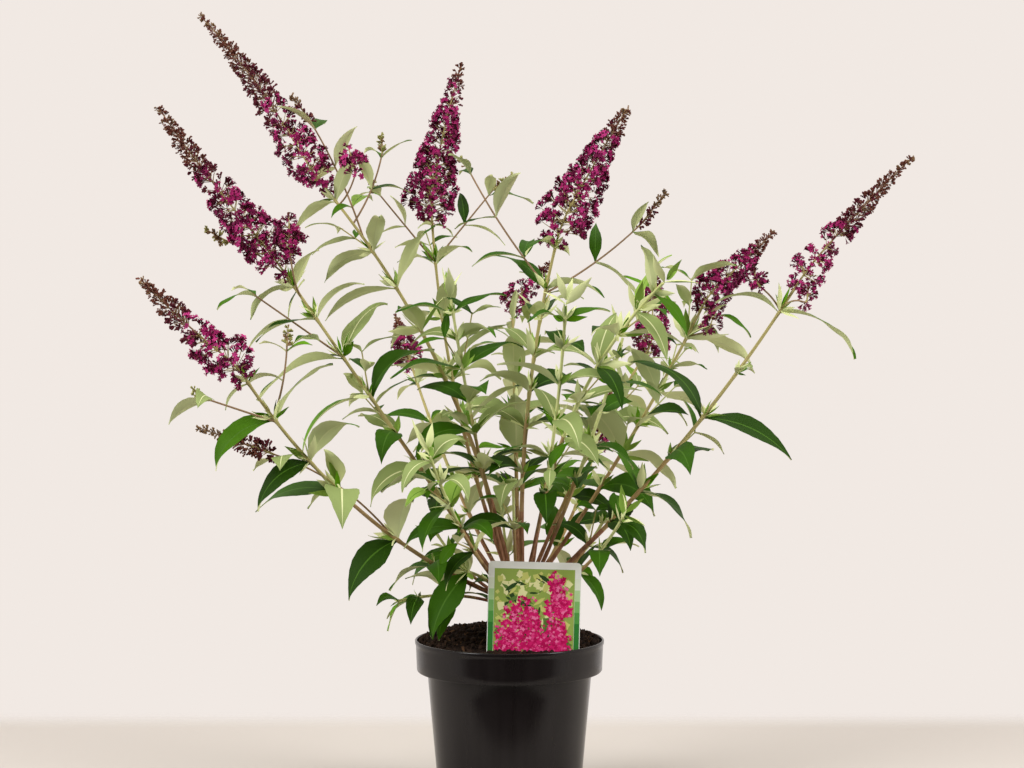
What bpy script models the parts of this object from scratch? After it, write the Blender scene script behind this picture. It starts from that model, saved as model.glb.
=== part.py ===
"""A potted butterfly bush in flower: pot, compost, picture label, woody crown, canes and masses of foliage.

Metres, +Z up, +Y away from the viewer. The origin is the middle of the pot's flat underside.
"""

import math
import random
from dataclasses import dataclass

import bmesh
import bpy
from mathutils import Matrix, Quaternion, Vector
from mathutils.bvhtree import BVHTree

# The pot, a round nursery container with a turned-out collar
POT_HEIGHT = 0.175
POT_RIM_RADIUS = 0.095
POT_COLLAR_DEPTH = 0.031
POT_STEP_RADIUS = 0.0825
POT_FOOT_RADIUS = 0.0695
POT_WALL = 0.0018
POT_FLOOR = 0.0025
POT_SIDES = 30
DRAIN_HOLES = 6
DRAIN_HOLE_RADIUS = 0.005
DRAIN_CIRCLE_RADIUS = 0.048

# The compost, which fills the pot and domes a little over its rim
FIT_GAP = 0.0003
SOIL_FRONT_DROP = 0.008
SOIL_BACK_DROP = 0.001
SOIL_FRONT_SLOPE = 1.5
SOIL_BACK_SLOPE = 0.7
SOIL_CROWN_HEIGHT = 0.187
SOIL_FLAT_RADIUS = 0.020
SOIL_RINGS = 4
SOIL_ROUGHNESS = 0.0022

# The picture label, a thin card on a stake
LABEL_WIDTH = 0.0900
LABEL_TOP = 0.2585
LABEL_SHOULDER = 0.156
LABEL_TIP = 0.105
LABEL_STAKE_WIDTH = 0.024
LABEL_THICKNESS = 0.0008
LABEL_CORNER = 0.004
LABEL_X = 0.0223
LABEL_FORWARD = 0.060
LABEL_TILT = math.radians(1.5)

# The woody crown that all canes rise from
CROWN_X = 0.010
CROWN_FLARE_RADIUS = 0.0180
CROWN_NECK_RADIUS = 0.0120
CROWN_HEAD_RADIUS = 0.0155
CROWN_HEAD_HEIGHT = 0.027
CROWN_SIDES = 14
CROWN = Vector((CROWN_X, 0.0, SOIL_CROWN_HEIGHT + CROWN_HEAD_HEIGHT))

# How leaves grow: their angle to the stem, their width to length, and the clear space kept round each
LEAF_ANGLE = math.radians(52)
LEAF_BROAD = 0.40
LEAF_NARROW = 0.235
BROAD_BELOW = 0.33
NARROW_ABOVE = 0.50
LEAF_ROLL = 30
FACING_ROLL = 28
FACING_BEND = 0.5
FACING_BELOW = 0.34
FACING_ABOVE = 0.43
CANE_TIP_RADIUS = 0.0014
LEAF_STEPS = 8
LONG_LEAF = 0.064
LEAF_CLEARANCE = 0.0009
LEAF_TRIES = ((0, 0, 1.0), (15, 0, 1.0), (-15, 0, 1.0), (0, 14, 0.95), (0, -14, 0.95), (30, 0, 0.9), (-30, 0, 0.9),
              (48, 8, 0.8), (-48, 8, 0.8), (0, 22, 0.7), (20, -22, 0.7), (-20, -22, 0.7), (0, 0, 0.5))
SHOOTS_LOW = 1.2
SHOOTS_HIGH = 1.3
SPIKE_RING = 0.012
FOOT_WIDTH = 0.0006
FOOT_DEPTH = 0.0005
UP = Vector((0.0, 0.0, 1.0))
SEED = 20


@dataclass(frozen=True)
class Spike:
    """A flower spike: its length, its greatest width, and the way it points, in degrees. It sets off steeper
    than it climbs on average by its curl, and ends flatter by as much."""

    length: float
    width: float
    bearing: float
    climb: float
    curl: float


@dataclass(frozen=True)
class Cane:
    """A cane: bearing in degrees (0 right, 90 back), how far up the crown's round head its foot is, also in
    degrees, reach out and rise up from the crown to its tip, and bow, how far its middle lies outside the
    straight line. Each knot has its share of the cane's length, the turn
    of its pair of leaves (0 level, 90 upright), and their length. Droop is how far a leaf bends down. The cane
    is a bare bough up to one share, and from split on its leaves and flowers are a mass of their own."""

    name: str
    bearing: float
    foot: float
    reach: float
    rise: float
    bow: float
    thick: float
    knots: tuple
    droop: float
    bare: float
    split: float = 1.0
    spike: Spike = None
    shoots: float = 0.22


@dataclass(frozen=True)
class Twig:
    """A side twig that leaves a cane at one share of its length, with its own leaf pairs and perhaps a spike."""

    cane: str
    at: float
    bearing: float
    reach: float
    rise: float
    bow: float
    pairs: int
    leaf: float
    spike: Spike = None


CANES = (
    Cane("top_left", 171, 62, 0.200, 0.416, -0.028, 0.0026,
         ((0.26, 90, 0.056), (0.37, 0, 0.068), (0.49, 90, 0.088), (0.605, 10, 0.090), (0.72, 80, 0.094),
          (0.82, 60, 0.084), (0.965, 90, 0.060)),
         66, 0.20, 0.76, Spike(0.226, 0.046, 171, 55, 8)),
    Cane("left", 197, 30, 0.237, 0.324, 0.000, 0.0024,
         ((0.29, 0, 0.056), (0.395, 80, 0.064), (0.50, 0, 0.074), (0.62, 90, 0.092), (0.74, 96, 0.098),
          (0.86, 80, 0.066), (0.955, 50, 0.072)),
         72, 0.23, 0.82, Spike(0.195, 0.050, 199, 51, -4)),
    Cane("low_left", 214, 5, 0.300, 0.222, 0.026, 0.0023,
         ((0.25, 10, 0.060), (0.39, 70, 0.080), (0.60, 0, 0.086), (0.72, 80, 0.072), (0.865, 80, 0.078),
          (0.985, 60, 0.050)),
         88, 0.21, 0.80, Spike(0.128, 0.046, 200, 41, -6), 0.14),
    Cane("centre_left", 133, 50, 0.136, 0.390, 0.022, 0.0023,
         ((0.30, 0, 0.080), (0.43, 90, 0.090), (0.57, 0, 0.082), (0.735, 70, 0.082), (0.885, 80, 0.070),
          (0.99, 0, 0.040)),
         64, 0.25, 0.80, Spike(0.179, 0.056, 41, 75, 5)),
    Cane("centre", 312, 72, 0.054, 0.356, -0.018, 0.0026,
         ((0.32, 0, 0.060), (0.45, 90, 0.078), (0.56, 0, 0.080), (0.66, 90, 0.084), (0.77, 20, 0.078),
          (0.86, 90, 0.080), (0.98, 30, 0.066)),
         64, 0.27, 0.81, Spike(0.146, 0.058, 352, 60, 2)),
    Cane("right_back", 50, 40, 0.221, 0.252, -0.010, 0.0021,
         ((0.34, 0, 0.074), (0.50, 90, 0.080), (0.66, 0, 0.074), (0.80, 90, 0.064), (0.95, 0, 0.046)),
         64, 0.28, 0.86, Spike(0.116, 0.046, 84, 70, 0)),
    Cane("right", 25, 38, 0.214, 0.298, 0.008, 0.0022,
         ((0.36, 0, 0.078), (0.48, 90, 0.084), (0.58, 0, 0.074), (0.70, 90, 0.074), (0.78, 10, 0.050),
          (0.89, 92, 0.098)),
         68, 0.30, 0.83, Spike(0.124, 0.042, 25, 40, 0)),
    Cane("far_right", 352, 20, 0.273, 0.311, 0.014, 0.0025,
         ((0.26, 0, 0.056), (0.37, 90, 0.070), (0.48, 0, 0.074), (0.61, 90, 0.098), (0.745, 0, 0.046),
          (0.93, 90, 0.098)),
         68, 0.20, 0.84, Spike(0.168, 0.036, 344, 47, 3)),
    Cane("pale_shoot", 307, 20, 0.214, 0.308, -0.042, 0.0021,
         ((0.34, 0, 0.054), (0.45, 90, 0.064), (0.56, 0, 0.070), (0.68, 80, 0.074), (0.79, 0, 0.064),
          (0.88, 90, 0.070), (0.955, 90, 0.060)),
         60, 0.27, 0.64, None, 0.25),
    Cane("front_shoot", 290, 45, 0.125, 0.290, 0.018, 0.0020,
         ((0.38, 70, 0.058), (0.51, 0, 0.068), (0.63, 80, 0.072), (0.75, 0, 0.068), (0.86, 90, 0.064),
          (0.95, 20, 0.050)),
         66, 0.31, 1.0, None, 0.2),
    Cane("right_shoot", 334, 42, 0.112, 0.262, 0.006, 0.0020,
         ((0.44, 0, 0.048), (0.58, 90, 0.054), (0.71, 0, 0.056), (0.82, 90, 0.056), (0.92, 20, 0.050)),
         66, 0.33, 1.0, None, 0.14),
    Cane("back", 92, 42, 0.196, 0.300, 0.000, 0.0025,
         ((0.32, 0, 0.078), (0.46, 90, 0.086), (0.59, 0, 0.084), (0.72, 90, 0.080), (0.85, 0, 0.064),
          (0.96, 90, 0.050)),
         66, 0.27, 0.88, Spike(0.082, 0.034, 41, 40, 0)),
    Cane("back_left", 122, 12, 0.225, 0.235, 0.012, 0.0023,
         ((0.36, 90, 0.056), (0.50, 0, 0.062), (0.63, 90, 0.064), (0.76, 0, 0.060), (0.93, 90, 0.052)),
         65, 0.29, 0.86, Spike(0.085, 0.036, 110, 42, 0), 0.12),
    Cane("back_right", 68, 12, 0.240, 0.150, 0.018, 0.0023,
         ((0.36, 90, 0.054), (0.50, 0, 0.060), (0.64, 90, 0.060), (0.77, 0, 0.056), (0.93, 90, 0.050)),
         70, 0.29, 0.86, Spike(0.090, 0.036, 75, 38, 0), 0.10),
    Cane("left_shoot", 210, 48, 0.078, 0.300, 0.004, 0.0020,
         ((0.42, 0, 0.064), (0.54, 90, 0.076), (0.65, 0, 0.080), (0.76, 90, 0.080), (0.86, 10, 0.072),
          (0.95, 90, 0.058)),
         62, 0.34, 1.0, None, 0.25),
    Cane("front_left", 236, 14, 0.150, 0.150, 0.012, 0.0022,
         ((0.40, 80, 0.056), (0.56, 10, 0.060), (0.70, 90, 0.062), (0.84, 0, 0.058), (0.97, 80, 0.052)),
         85, 0.32, 1.0, None, 0.2),
    Cane("front_right", 328, -4, 0.118, 0.088, 0.010, 0.0020,
         ((0.44, 80, 0.050), (0.68, 0, 0.050), (0.95, 70, 0.052)),
         80, 0.36, 1.0, None, 0.1),
    Cane("sprout_front", 260, 34, 0.036, 0.116, 0.004, 0.0018, ((0.60, 0, 0.062), (0.97, 84, 0.064)), 85, 0.0),
    Cane("hanging_shoot", 225, -40, 0.072, 0.034, -0.008, 0.0017,
         ((0.58, 10, 0.050), (0.96, 84, 0.074)), 90, 0.0, 1.0, None, 0.0),
    Cane("sprout_left", 186, 6, 0.085, 0.070, 0.006, 0.0018,
         ((0.45, 0, 0.048), (0.72, 80, 0.056), (0.97, 10, 0.050)), 85, 0.0, 1.0, None, 0.2),
    Cane("sprout_right", 6, 2, 0.085, 0.078, 0.006, 0.0018,
         ((0.45, 0, 0.040), (0.72, 80, 0.048), (0.97, 10, 0.044)), 80, 0.0, 1.0, None, 0.1),
    Cane("sprout_back", 105, 2, 0.070, 0.082, 0.004, 0.0018, ((0.5, 0, 0.072), (0.97, 80, 0.064)), 75, 0.0),
    Cane("rim_shoot", 206, -18, 0.132, 0.006, -0.008, 0.0016,
         ((0.50, 70, 0.060), (0.80, 20, 0.044), (0.98, 70, 0.034)), 60, 0.0, 1.0, None, 0.0),
)

TWIGS = (
    Twig("low_left", 0.41, 204, 0.116, 0.080, -0.010, 2, 0.052, Spike(0.074, 0.022, 200, 20, 0)),
    Twig("low_left", 0.875, 60, 0.020, 0.066, 0.004, 1, 0.036, Spike(0.016, 0.010, 70, 80, 0)),
    Twig("low_left", 0.86, 214, 0.070, 0.022, 0.000, 1, 0.055, Spike(0.014, 0.010, 200, 40, 0)),
    Twig("left", 0.745, 186, 0.090, 0.063, 0.000, 3, 0.058),
    Twig("left", 0.93, 262, 0.036, 0.036, 0.006, 0, 0.030, Spike(0.042, 0.036, 120, 84, 0)),
    Twig("left", 0.985, 186, 0.056, 0.034, -0.004, 0, 0.030, Spike(0.026, 0.014, 186, 30, 0)),
    Twig("top_left", 0.86, 160, 0.060, 0.122, -0.004, 3, 0.066, Spike(0.036, 0.010, 165, 52, 0)),
    Twig("top_left", 0.955, 300, 0.040, 0.026, 0.004, 0, 0.030, Spike(0.032, 0.034, 160, 70, 0)),
    Twig("top_left", 0.90, 12, 0.030, 0.074, 0.004, 2, 0.056, Spike(0.018, 0.008, 150, 82, 0)),
    Twig("centre_left", 0.89, 197, 0.064, 0.074, 0.000, 2, 0.048, Spike(0.014, 0.012, 150, 62, 0)),
    Twig("centre_left", 0.895, 352, 0.062, 0.074, 0.000, 2, 0.060, Spike(0.026, 0.012, 350, 34, 0)),
    Twig("centre", 0.87, 166, 0.082, 0.122, 0.004, 3, 0.064, Spike(0.010, 0.009, 150, 50, 0)),
    Twig("centre", 0.85, 12, 0.096, 0.068, 0.004, 2, 0.064, Spike(0.046, 0.012, 12, 52, 0)),
    Twig("far_right", 0.935, 160, 0.020, 0.024, -0.002, 0, 0.030, Spike(0.018, 0.030, 160, 76, 0)),
    Twig("far_right", 0.945, 40, 0.034, 0.006, -0.004, 0, 0.030, Spike(0.018, 0.026, 60, 76, 0)),
    Twig("right", 0.90, 340, 0.020, 0.004, 0.000, 0, 0.030, Spike(0.018, 0.028, 330, 70, 0)),
    Twig("rim_shoot", 0.43, 248, 0.014, 0.002, 0.000, 1, 0.068),
)


def aim(bearing, climb):
    """The unit direction of a bearing and a climb, both in degrees."""
    turn = math.radians(bearing)
    lift = math.radians(climb)
    return Vector((math.cos(turn) * math.cos(lift), math.sin(turn) * math.cos(lift), math.sin(lift)))


def bowed(start, end, bow, bearing, steps):
    """Points on one smooth curve whose middle lies bow outside and below the line from start to end."""
    chord = end - start
    climb = math.degrees(math.atan2(chord.z, math.hypot(chord.x, chord.y)))
    control = (start + end) / 2 + 2 * bow * aim(bearing, climb - 90)
    made = []
    for i in range(steps + 1):
        t = i / steps
        made.append(start * (1 - t) ** 2 + control * 2 * t * (1 - t) + end * t * t)
    return made


def ring(centre, way, radii, turn=0.0):
    """Points round a line, one for each radius."""
    first = way.cross(Vector((0.31, 0.87, 0.38))).normalized()
    second = way.cross(first).normalized()
    made = []
    for i, radius in enumerate(radii):
        a = 2 * math.pi * i / len(radii) + turn
        made.append(centre + (first * math.cos(a) + second * math.sin(a)) * radius)
    return made


def circle(radius, height, sides):
    """Points round the Z axis, or the one point on it."""
    if radius == 0:
        return [Vector((0.0, 0.0, height))]
    turns = [2 * math.pi * i / sides for i in range(sides)]
    return [Vector((radius * math.cos(a), radius * math.sin(a), height)) for a in turns]


def loft(rows):
    """Points and faces of a closed skin over rows of points. A row of one point is a tip."""
    points = [point for row in rows for point in row]
    faces = []
    start = 0
    for a, b in zip(rows, rows[1:]):
        after = start + len(a)
        for i in range(max(len(a), len(b))):
            corners = (start + i % len(a), start + (i + 1) % len(a), after + (i + 1) % len(b), after + i % len(b))
            faces.append(tuple(dict.fromkeys(corners)))
        start = after
    for first, row in ((0, rows[0]), (start, rows[-1])):
        if len(row) > 2:
            faces.append(tuple(range(first, first + len(row))))
    return points, faces


class Limb:
    """A stem along a smooth line of points, thinning from one radius to another."""

    def __init__(self, points, thick, thin):
        self.points = points
        self.thick = thick
        self.thin = thin
        self.reached = [0.0]
        for a, b in zip(points, points[1:]):
            self.reached.append(self.reached[-1] + (b - a).length)
        self.length = self.reached[-1]

    def at(self, share):
        """The point, direction and radius at a share of the length."""
        want = min(max(share, 0.0), 1.0) * self.length
        i = 0
        while i < len(self.points) - 2 and self.reached[i + 1] < want:
            i += 1
        part = (want - self.reached[i]) / (self.reached[i + 1] - self.reached[i])
        step = self.points[i + 1] - self.points[i]
        radius = self.thick + (self.thin - self.thick) * share
        return self.points[i] + step * part, step.normalized(), radius

    def rows(self, first, last, steps, sides, grown=0.0):
        """Rings of points from one share of the length to another."""
        made = []
        for i in range(steps + 1):
            centre, way, radius = self.at(first + (last - first) * i / steps)
            made.append(ring(centre, way, [radius + grown] * sides))
        return made


@dataclass
class Leaf:
    """A leaf: the line of its midrib, the way across it, its sizes, and the mass that it belongs to."""

    line: Limb
    across: Vector
    length: float
    width: float
    mass: str

    def rows(self, shares, grown=0.0, tip=True):
        """Three-cornered sections of the blade, with a keel under its midrib, and its tip."""
        made = []
        for share in shares:
            centre, way, _ = self.line.at(share)
            above = self.across.cross(way).normalized()
            above = above if above.z > 0 else -above
            half = max(FOOT_WIDTH / 2, self.width * leaf_half_width(share)) + grown
            keel = (max(0.0013, self.length / 62) if share else FOOT_DEPTH) + 2 * grown
            made.append([centre + self.across * half + above * keel * 0.4,
                         centre - self.across * half + above * keel * 0.4,
                         centre - above * keel * 0.6])
        return made + [[self.line.at(1.0)[0]]] if tip else made


def leaf_half_width(share):
    """Half of a leaf's width, as a share of its full width, from its foot to its tip."""
    if share < 0.38:
        return 0.5 * math.sin(math.pi / 2 * share / 0.38)
    return 0.5 * math.cos(math.pi / 2 * ((share - 0.38) / 0.62) ** 1.15)


def slenderness(height):
    """A leaf's width as a share of its length: broad low on the bush, narrow high up."""
    share = min(1.0, max(0.0, (height - BROAD_BELOW) / (NARROW_ABOVE - BROAD_BELOW)))
    return LEAF_BROAD + (LEAF_NARROW - LEAF_BROAD) * share


def facing(height):
    """How much a leaf turns its upper side to the light in front: wholly low on the bush, not at all high up."""
    return 1 - min(1.0, max(0.0, (height - FACING_BELOW) / (FACING_ABOVE - FACING_BELOW)))


def leaf_sections(length):
    """Where a leaf's solid has its sections: short leaves have one, long ones two."""
    return (0.0, 0.34, 0.68) if length > LONG_LEAF else (0.0, 0.44)


def leaf_line(root, way, length, droop):
    """The midrib of a leaf that sets off along way and bends down as it goes."""
    turn = math.degrees(math.atan2(way.y, way.x))
    lift = math.degrees(math.asin(max(-1.0, min(1.0, way.z))))
    last = max(lift - droop, -82)
    points = [root.copy()]
    for i in range(LEAF_STEPS):
        now = lift + (last - lift) * ((i + 0.5) / LEAF_STEPS) ** 1.1
        points.append(points[-1] + aim(turn, now) * (length / LEAF_STEPS))
    return Limb(points, 0.0, 0.0)


def spike_swell(share):
    """A spike's half width as a share of its greatest, from its foot to its tip."""
    return min(1.0, 0.55 + share / 0.22) * (1 - 0.86 * max(0.0, share - 0.12) / 0.88)


class Space:
    """The room already taken, so that a new leaf can be tested against it."""

    def __init__(self):
        self.taken = []

    @staticmethod
    def boxed(shape):
        """A skin with the box round it."""
        points, faces = shape
        low = [min(p[i] for p in points) for i in range(3)]
        high = [max(p[i] for p in points) for i in range(3)]
        return low, high, BVHTree.FromPolygons(points, faces)

    def take(self, shape):
        """Marks a skin as taken."""
        self.taken.append(self.boxed(shape))

    def free(self, shape):
        """Whether a skin crosses nothing that is taken."""
        low, high, tree = self.boxed(shape)
        for other_low, other_high, other in self.taken:
            if any(low[i] > other_high[i] or high[i] < other_low[i] for i in range(3)):
                continue
            if tree.overlap(other):
                return False
        return True


class Plant:
    """All limbs, leaves and spikes of the bush, grown by one seeded rule from the tables above."""

    def __init__(self):
        self.space = Space()
        self.canes = {}
        self.twigs = []
        self.shoots = []
        self.spikes = []
        self.leaves = []
        margin = 3 * LEAF_CLEARANCE
        self.space.take(loft(pot_rows(POT_RIM_RADIUS + margin, POT_HEIGHT + margin)))
        self.space.take(label_shape(margin))
        self.grow_limbs()
        for cane in CANES:
            self.grow_cane_leaves(cane)
        for i, (twig, limb, mass) in enumerate(self.twigs):
            self.grow_twig_leaves(twig, limb, mass, random.Random(SEED * 100 + i))
        for cane in CANES:
            self.grow_cane_shoots(cane, cane.shoots, random.Random(2 * SEED + sum(map(ord, cane.name))))

    def mass_of(self, cane, share):
        """The mass that a place on a cane belongs to."""
        if share < cane.split or cane.split == 1.0:
            return "foliage_" + cane.name
        return ("flower_" if cane.spike else "tip_") + cane.name

    def grow_limbs(self):
        """Canes, side twigs and spikes, which come before any leaf."""
        head = BVHTree.FromPolygons(*crown_shape())
        for cane in CANES:
            limb = self.seated(cane, head)
            self.canes[cane.name] = limb
            self.take_limb(limb)
            if cane.spike:
                self.grow_spike(cane.spike, limb, self.mass_of(cane, 1.0))
        for twig in TWIGS:
            cane = next(c for c in CANES if c.name == twig.cane)
            start, _, radius = self.canes[cane.name].at(twig.at)
            end = start + aim(twig.bearing, 0) * twig.reach + UP * twig.rise
            thick = min(radius * 0.72, 0.0011)
            limb = Limb(bowed(start, end, twig.bow, twig.bearing, 14), thick, thick * 0.8)
            mass = self.mass_of(cane, twig.at)
            self.twigs.append((twig, limb, mass))
            self.take_limb(limb)
            if twig.spike:
                self.grow_spike(twig.spike, limb, mass)

    def seated(self, cane, head):
        """A cane's line, its foot slid in along its seat until it is the fitting gap from the crown's head."""
        end = CROWN + aim(cane.bearing, 0) * cane.reach + UP * cane.rise
        outward = aim(cane.bearing, cane.foot)
        out = CROWN_HEAD_RADIUS + 1.2 * cane.thick + 2 * FIT_GAP
        clear = 1.0
        while clear > FIT_GAP * 1.15:
            out -= FIT_GAP / 8
            limb = Limb(bowed(CROWN + outward * out, end, cane.bow, cane.bearing, 40), cane.thick, CANE_TIP_RADIUS)
            rim = limb.rows(0.0, 1.0, 1, 5 if cane.bare else 3)[0]
            edge = [a.lerp(b, k / 8) for a, b in zip(rim, rim[1:] + rim[:1]) for k in range(8)]
            clear = min(head.find_nearest(point)[3] for point in edge)
        return limb

    def take_limb(self, limb):
        """Marks a limb's room as taken."""
        steps = max(2, round(limb.length / 0.02))
        self.space.take(loft(limb.rows(0.0, 1.0, steps, 4, LEAF_CLEARANCE)))

    def grow_spike(self, spike, limb, mass):
        """A flower spike on a limb's tip, curving from the limb's own way to the way it points."""
        start, way, _ = limb.at(1.0)
        points = [start]
        steps = max(4, round(spike.length / 0.008))
        for i in range(steps):
            share = (i + 0.5) / steps
            course = aim(spike.bearing, spike.climb + spike.curl * (1 - 2 * share))
            lean = way.lerp(course, min(1.0, 4 * share))
            points.append(points[-1] + lean.normalized() * (spike.length / steps))
        line = Limb(points, 0.001, 0.001)
        self.spikes.append((spike, line, mass))
        self.space.take(loft(spike_rows(spike, line, LEAF_CLEARANCE)))

    def pair(self, limb, share, turn, rng):
        """The directions of two opposite leaves at a knot."""
        _, way, _ = limb.at(share)
        level = way.cross(UP).normalized()
        turned = Quaternion(way, math.radians(turn + rng.uniform(-12, 12))) @ level
        return [(way * math.cos(LEAF_ANGLE) + side * turned * math.sin(LEAF_ANGLE)).normalized()
                for side in (1, -1)]

    def grow_cane_leaves(self, cane):
        """A cane's opposite leaves, one pair at each knot."""
        limb = self.canes[cane.name]
        rng = random.Random(SEED + sum(map(ord, cane.name)))
        for share, turn, length in cane.knots:
            for way in self.pair(limb, share, turn, rng):
                grown = length * rng.uniform(0.94, 1.08)
                self.try_leaf(limb, share, way, grown, cane.droop, self.mass_of(cane, share), rng)

    def grow_cane_shoots(self, cane, chance, rng):
        """Leafy shoots in some of the axils of a cane's leaves."""
        limb = self.canes[cane.name]
        for share, turn, length in cane.knots:
            for way in self.pair(limb, share, turn, rng):
                if share < 0.93 and rng.random() < chance * (SHOOTS_LOW if share < 0.6 else SHOOTS_HIGH):
                    self.grow_shoot(limb, share, way, self.mass_of(cane, share), rng, length, cane.droop)

    def try_leaf(self, limb, share, way, length, droop, mass, rng):
        """Adds a leaf where there is room for it, turned or shortened a little if need be, or none."""
        root, _, _ = limb.at(share)
        turned = facing(root.z)
        bend = droop * rng.uniform(0.7, 1.3) * (1 - FACING_BEND * turned * way.y)
        roll = math.radians(rng.uniform(-LEAF_ROLL, LEAF_ROLL) + FACING_ROLL * turned * way.x)
        for turn, lift, size in LEAF_TRIES:
            side = way.cross(UP).normalized()
            tried = Quaternion(UP, math.radians(turn)) @ Quaternion(side, math.radians(lift)) @ way
            line = leaf_line(root, tried, length * size, bend)
            across = Quaternion(tried, roll) @ tried.cross(UP).normalized()
            leaf = Leaf(line, across, length * size, length * size * slenderness(root.z), mass)
            clear_from = min(0.3, 0.009 / leaf.length)
            sections = (clear_from, *leaf_sections(leaf.length)[1:])
            shape = loft(leaf.rows(sections, LEAF_CLEARANCE))
            if self.space.free(shape):
                self.space.take(shape)
                self.leaves.append(leaf)
                return

    def grow_shoot(self, limb, share, way, mass, rng, size, droop):
        """A short leafy shoot in a leaf's axil, where there is room for its stem."""
        root, along, _ = limb.at(share)
        start = root + along * 0.003
        lean = (way * 0.55 + along * 0.6).normalized()
        length = size * rng.uniform(0.35, 0.8)
        shoot = Limb([start, start + lean * length], 0.0009, 0.0007)
        if not self.space.free(loft(shoot.rows(0.35, 1.0, 3, 4, LEAF_CLEARANCE))):
            return
        self.space.take(loft(shoot.rows(0.1, 1.0, 3, 4, LEAF_CLEARANCE)))
        self.shoots.append((shoot, mass))
        places = (0.97, 0.52) if length > 0.04 else (0.97,)
        for k, place in enumerate(places):
            for side in self.pair(shoot, place, 90 * k + rng.uniform(0, 90), rng):
                self.try_leaf(shoot, place, side, size * rng.uniform(0.4, 0.62), droop * 0.8, mass, rng)

    def grow_twig_leaves(self, twig, limb, mass, rng):
        """Leaf pairs along a side twig."""
        for k in range(twig.pairs):
            share = 0.93 - (0.34 if twig.pairs > 2 else 0.42) * k
            for way in self.pair(limb, share, 90 * k + rng.uniform(-30, 30), rng):
                self.try_leaf(limb, share, way, twig.leaf * rng.uniform(0.8, 1.1), 50, mass, rng)


def spike_rows(spike, line, grown=0.0):
    """A spike's knobbly spindle: rings whose corners stand out in turn, from a point sunk in its stem."""
    start, way, _ = line.at(0.0)
    rings = max(3, round(spike.length / SPIKE_RING))
    made = [[start - way * 0.003]]
    for k in range(rings):
        share = (k + 0.2) / rings
        centre, way, _ = line.at(share)
        half = spike.width / 2 * spike_swell(share)
        out, back = half * 1.06 + grown, half * 0.62 + grown
        made.append(ring(centre, way, [out if (i + k) % 2 else back for i in range(6)]))
    return made + [[line.at(1.0)[0]]]


def material(name, colour, rough):
    """A plain finish."""
    made = bpy.data.materials.new(name)
    made.use_nodes = True
    shader = made.node_tree.nodes["Principled BSDF"]
    shader.inputs["Base Color"].default_value = (*colour, 1.0)
    shader.inputs["Roughness"].default_value = rough
    return made


def add(name, shape, finish, smooth_below=None):
    """Puts a closed skin in the scene as one named object, its faces turned outwards."""
    mesh = bpy.data.meshes.new(name)
    points, faces = shape
    mesh.from_pydata(points, [], faces)
    bm = bmesh.new()
    bm.from_mesh(mesh)
    bmesh.ops.recalc_face_normals(bm, faces=bm.faces)
    bm.to_mesh(mesh)
    bm.free()
    mesh.materials.append(finish)
    if smooth_below:
        mesh.shade_smooth()
        mesh.set_sharp_from_angle(angle=math.radians(smooth_below))
    made = bpy.data.objects.new(name, mesh)
    bpy.context.scene.collection.objects.link(made)
    return made


def cut(target, cutter):
    """Takes the cutter's shape out of the target and keeps the cutter as a hidden helper."""
    cutter.hide_render = True
    cutter.display_type = "WIRE"
    opening = target.modifiers.new("cut", "BOOLEAN")
    opening.operation = "DIFFERENCE"
    opening.object = cutter
    opening.solver = "EXACT"


def fuse(name, stem, pieces):
    """One named solid: the stem with everything else, each a skin and its finish, joined to it by one union."""
    base = add(name, stem, TWIG)
    group = bpy.data.collections.new(name + "_parts")
    bpy.context.scene.collection.children.link(group)
    helpers = [add(f"{name}_part_{i}", shape, finish) for i, (shape, finish) in enumerate(pieces)]
    for helper in helpers:
        bpy.context.scene.collection.objects.unlink(helper)
        group.objects.link(helper)
    union = base.modifiers.new("union", "BOOLEAN")
    union.operation = "UNION"
    union.operand_type = "COLLECTION"
    union.collection = group
    union.solver = "MANIFOLD"
    union.material_mode = "TRANSFER"
    graph = bpy.context.evaluated_depsgraph_get()
    joined = bpy.data.meshes.new_from_object(base.evaluated_get(graph))
    base.modifiers.clear()
    base.data = joined
    for helper in helpers:
        bpy.data.objects.remove(helper)
    bpy.data.collections.remove(group)
    keep_largest(base)


def keep_largest(obj):
    """Drops loose scraps and the walls of hollows that the union sealed: only the largest shell stays."""
    bm = bmesh.new()
    bm.from_mesh(obj.data)
    bmesh.ops.triangulate(bm, faces=bm.faces)
    left = set(bm.faces)
    shells = []
    while left:
        first = left.pop()
        shell = [first]
        for face in shell:
            plain = [side for side in face.edges if len(side.link_faces) == 2]
            for other in (f for side in plain for f in side.link_faces):
                if other in left:
                    left.discard(other)
                    shell.append(other)
        shells.append(shell)
    shells.sort(key=len, reverse=True)
    drop = [face for shell in shells[1:] for face in shell]
    bmesh.ops.delete(bm, geom=drop, context="FACES")
    bm.to_mesh(obj.data)
    bm.free()


def inner_radius(height):
    """The pot's inner radius at a height above its underside."""
    step = POT_HEIGHT - POT_COLLAR_DEPTH
    if height > step + POT_WALL:
        return POT_RIM_RADIUS - POT_WALL - 0.0006 * (POT_HEIGHT - height) / POT_COLLAR_DEPTH
    return POT_FOOT_RADIUS + (POT_STEP_RADIUS - POT_FOOT_RADIUS) * height / step - POT_WALL


def pot_rows(rim=POT_RIM_RADIUS, top=POT_HEIGHT):
    """Rings of the pot's outside, from its underside to its rim."""
    step = POT_HEIGHT - POT_COLLAR_DEPTH
    profile = ((0.0, 0.0), (POT_FOOT_RADIUS, 0.0), (POT_STEP_RADIUS, step - 0.0012), (rim - 0.0020, step),
               (rim, top - 0.0012), (rim - 0.0010, top))
    return [circle(radius, height, POT_SIDES) for radius, height in profile]


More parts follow.
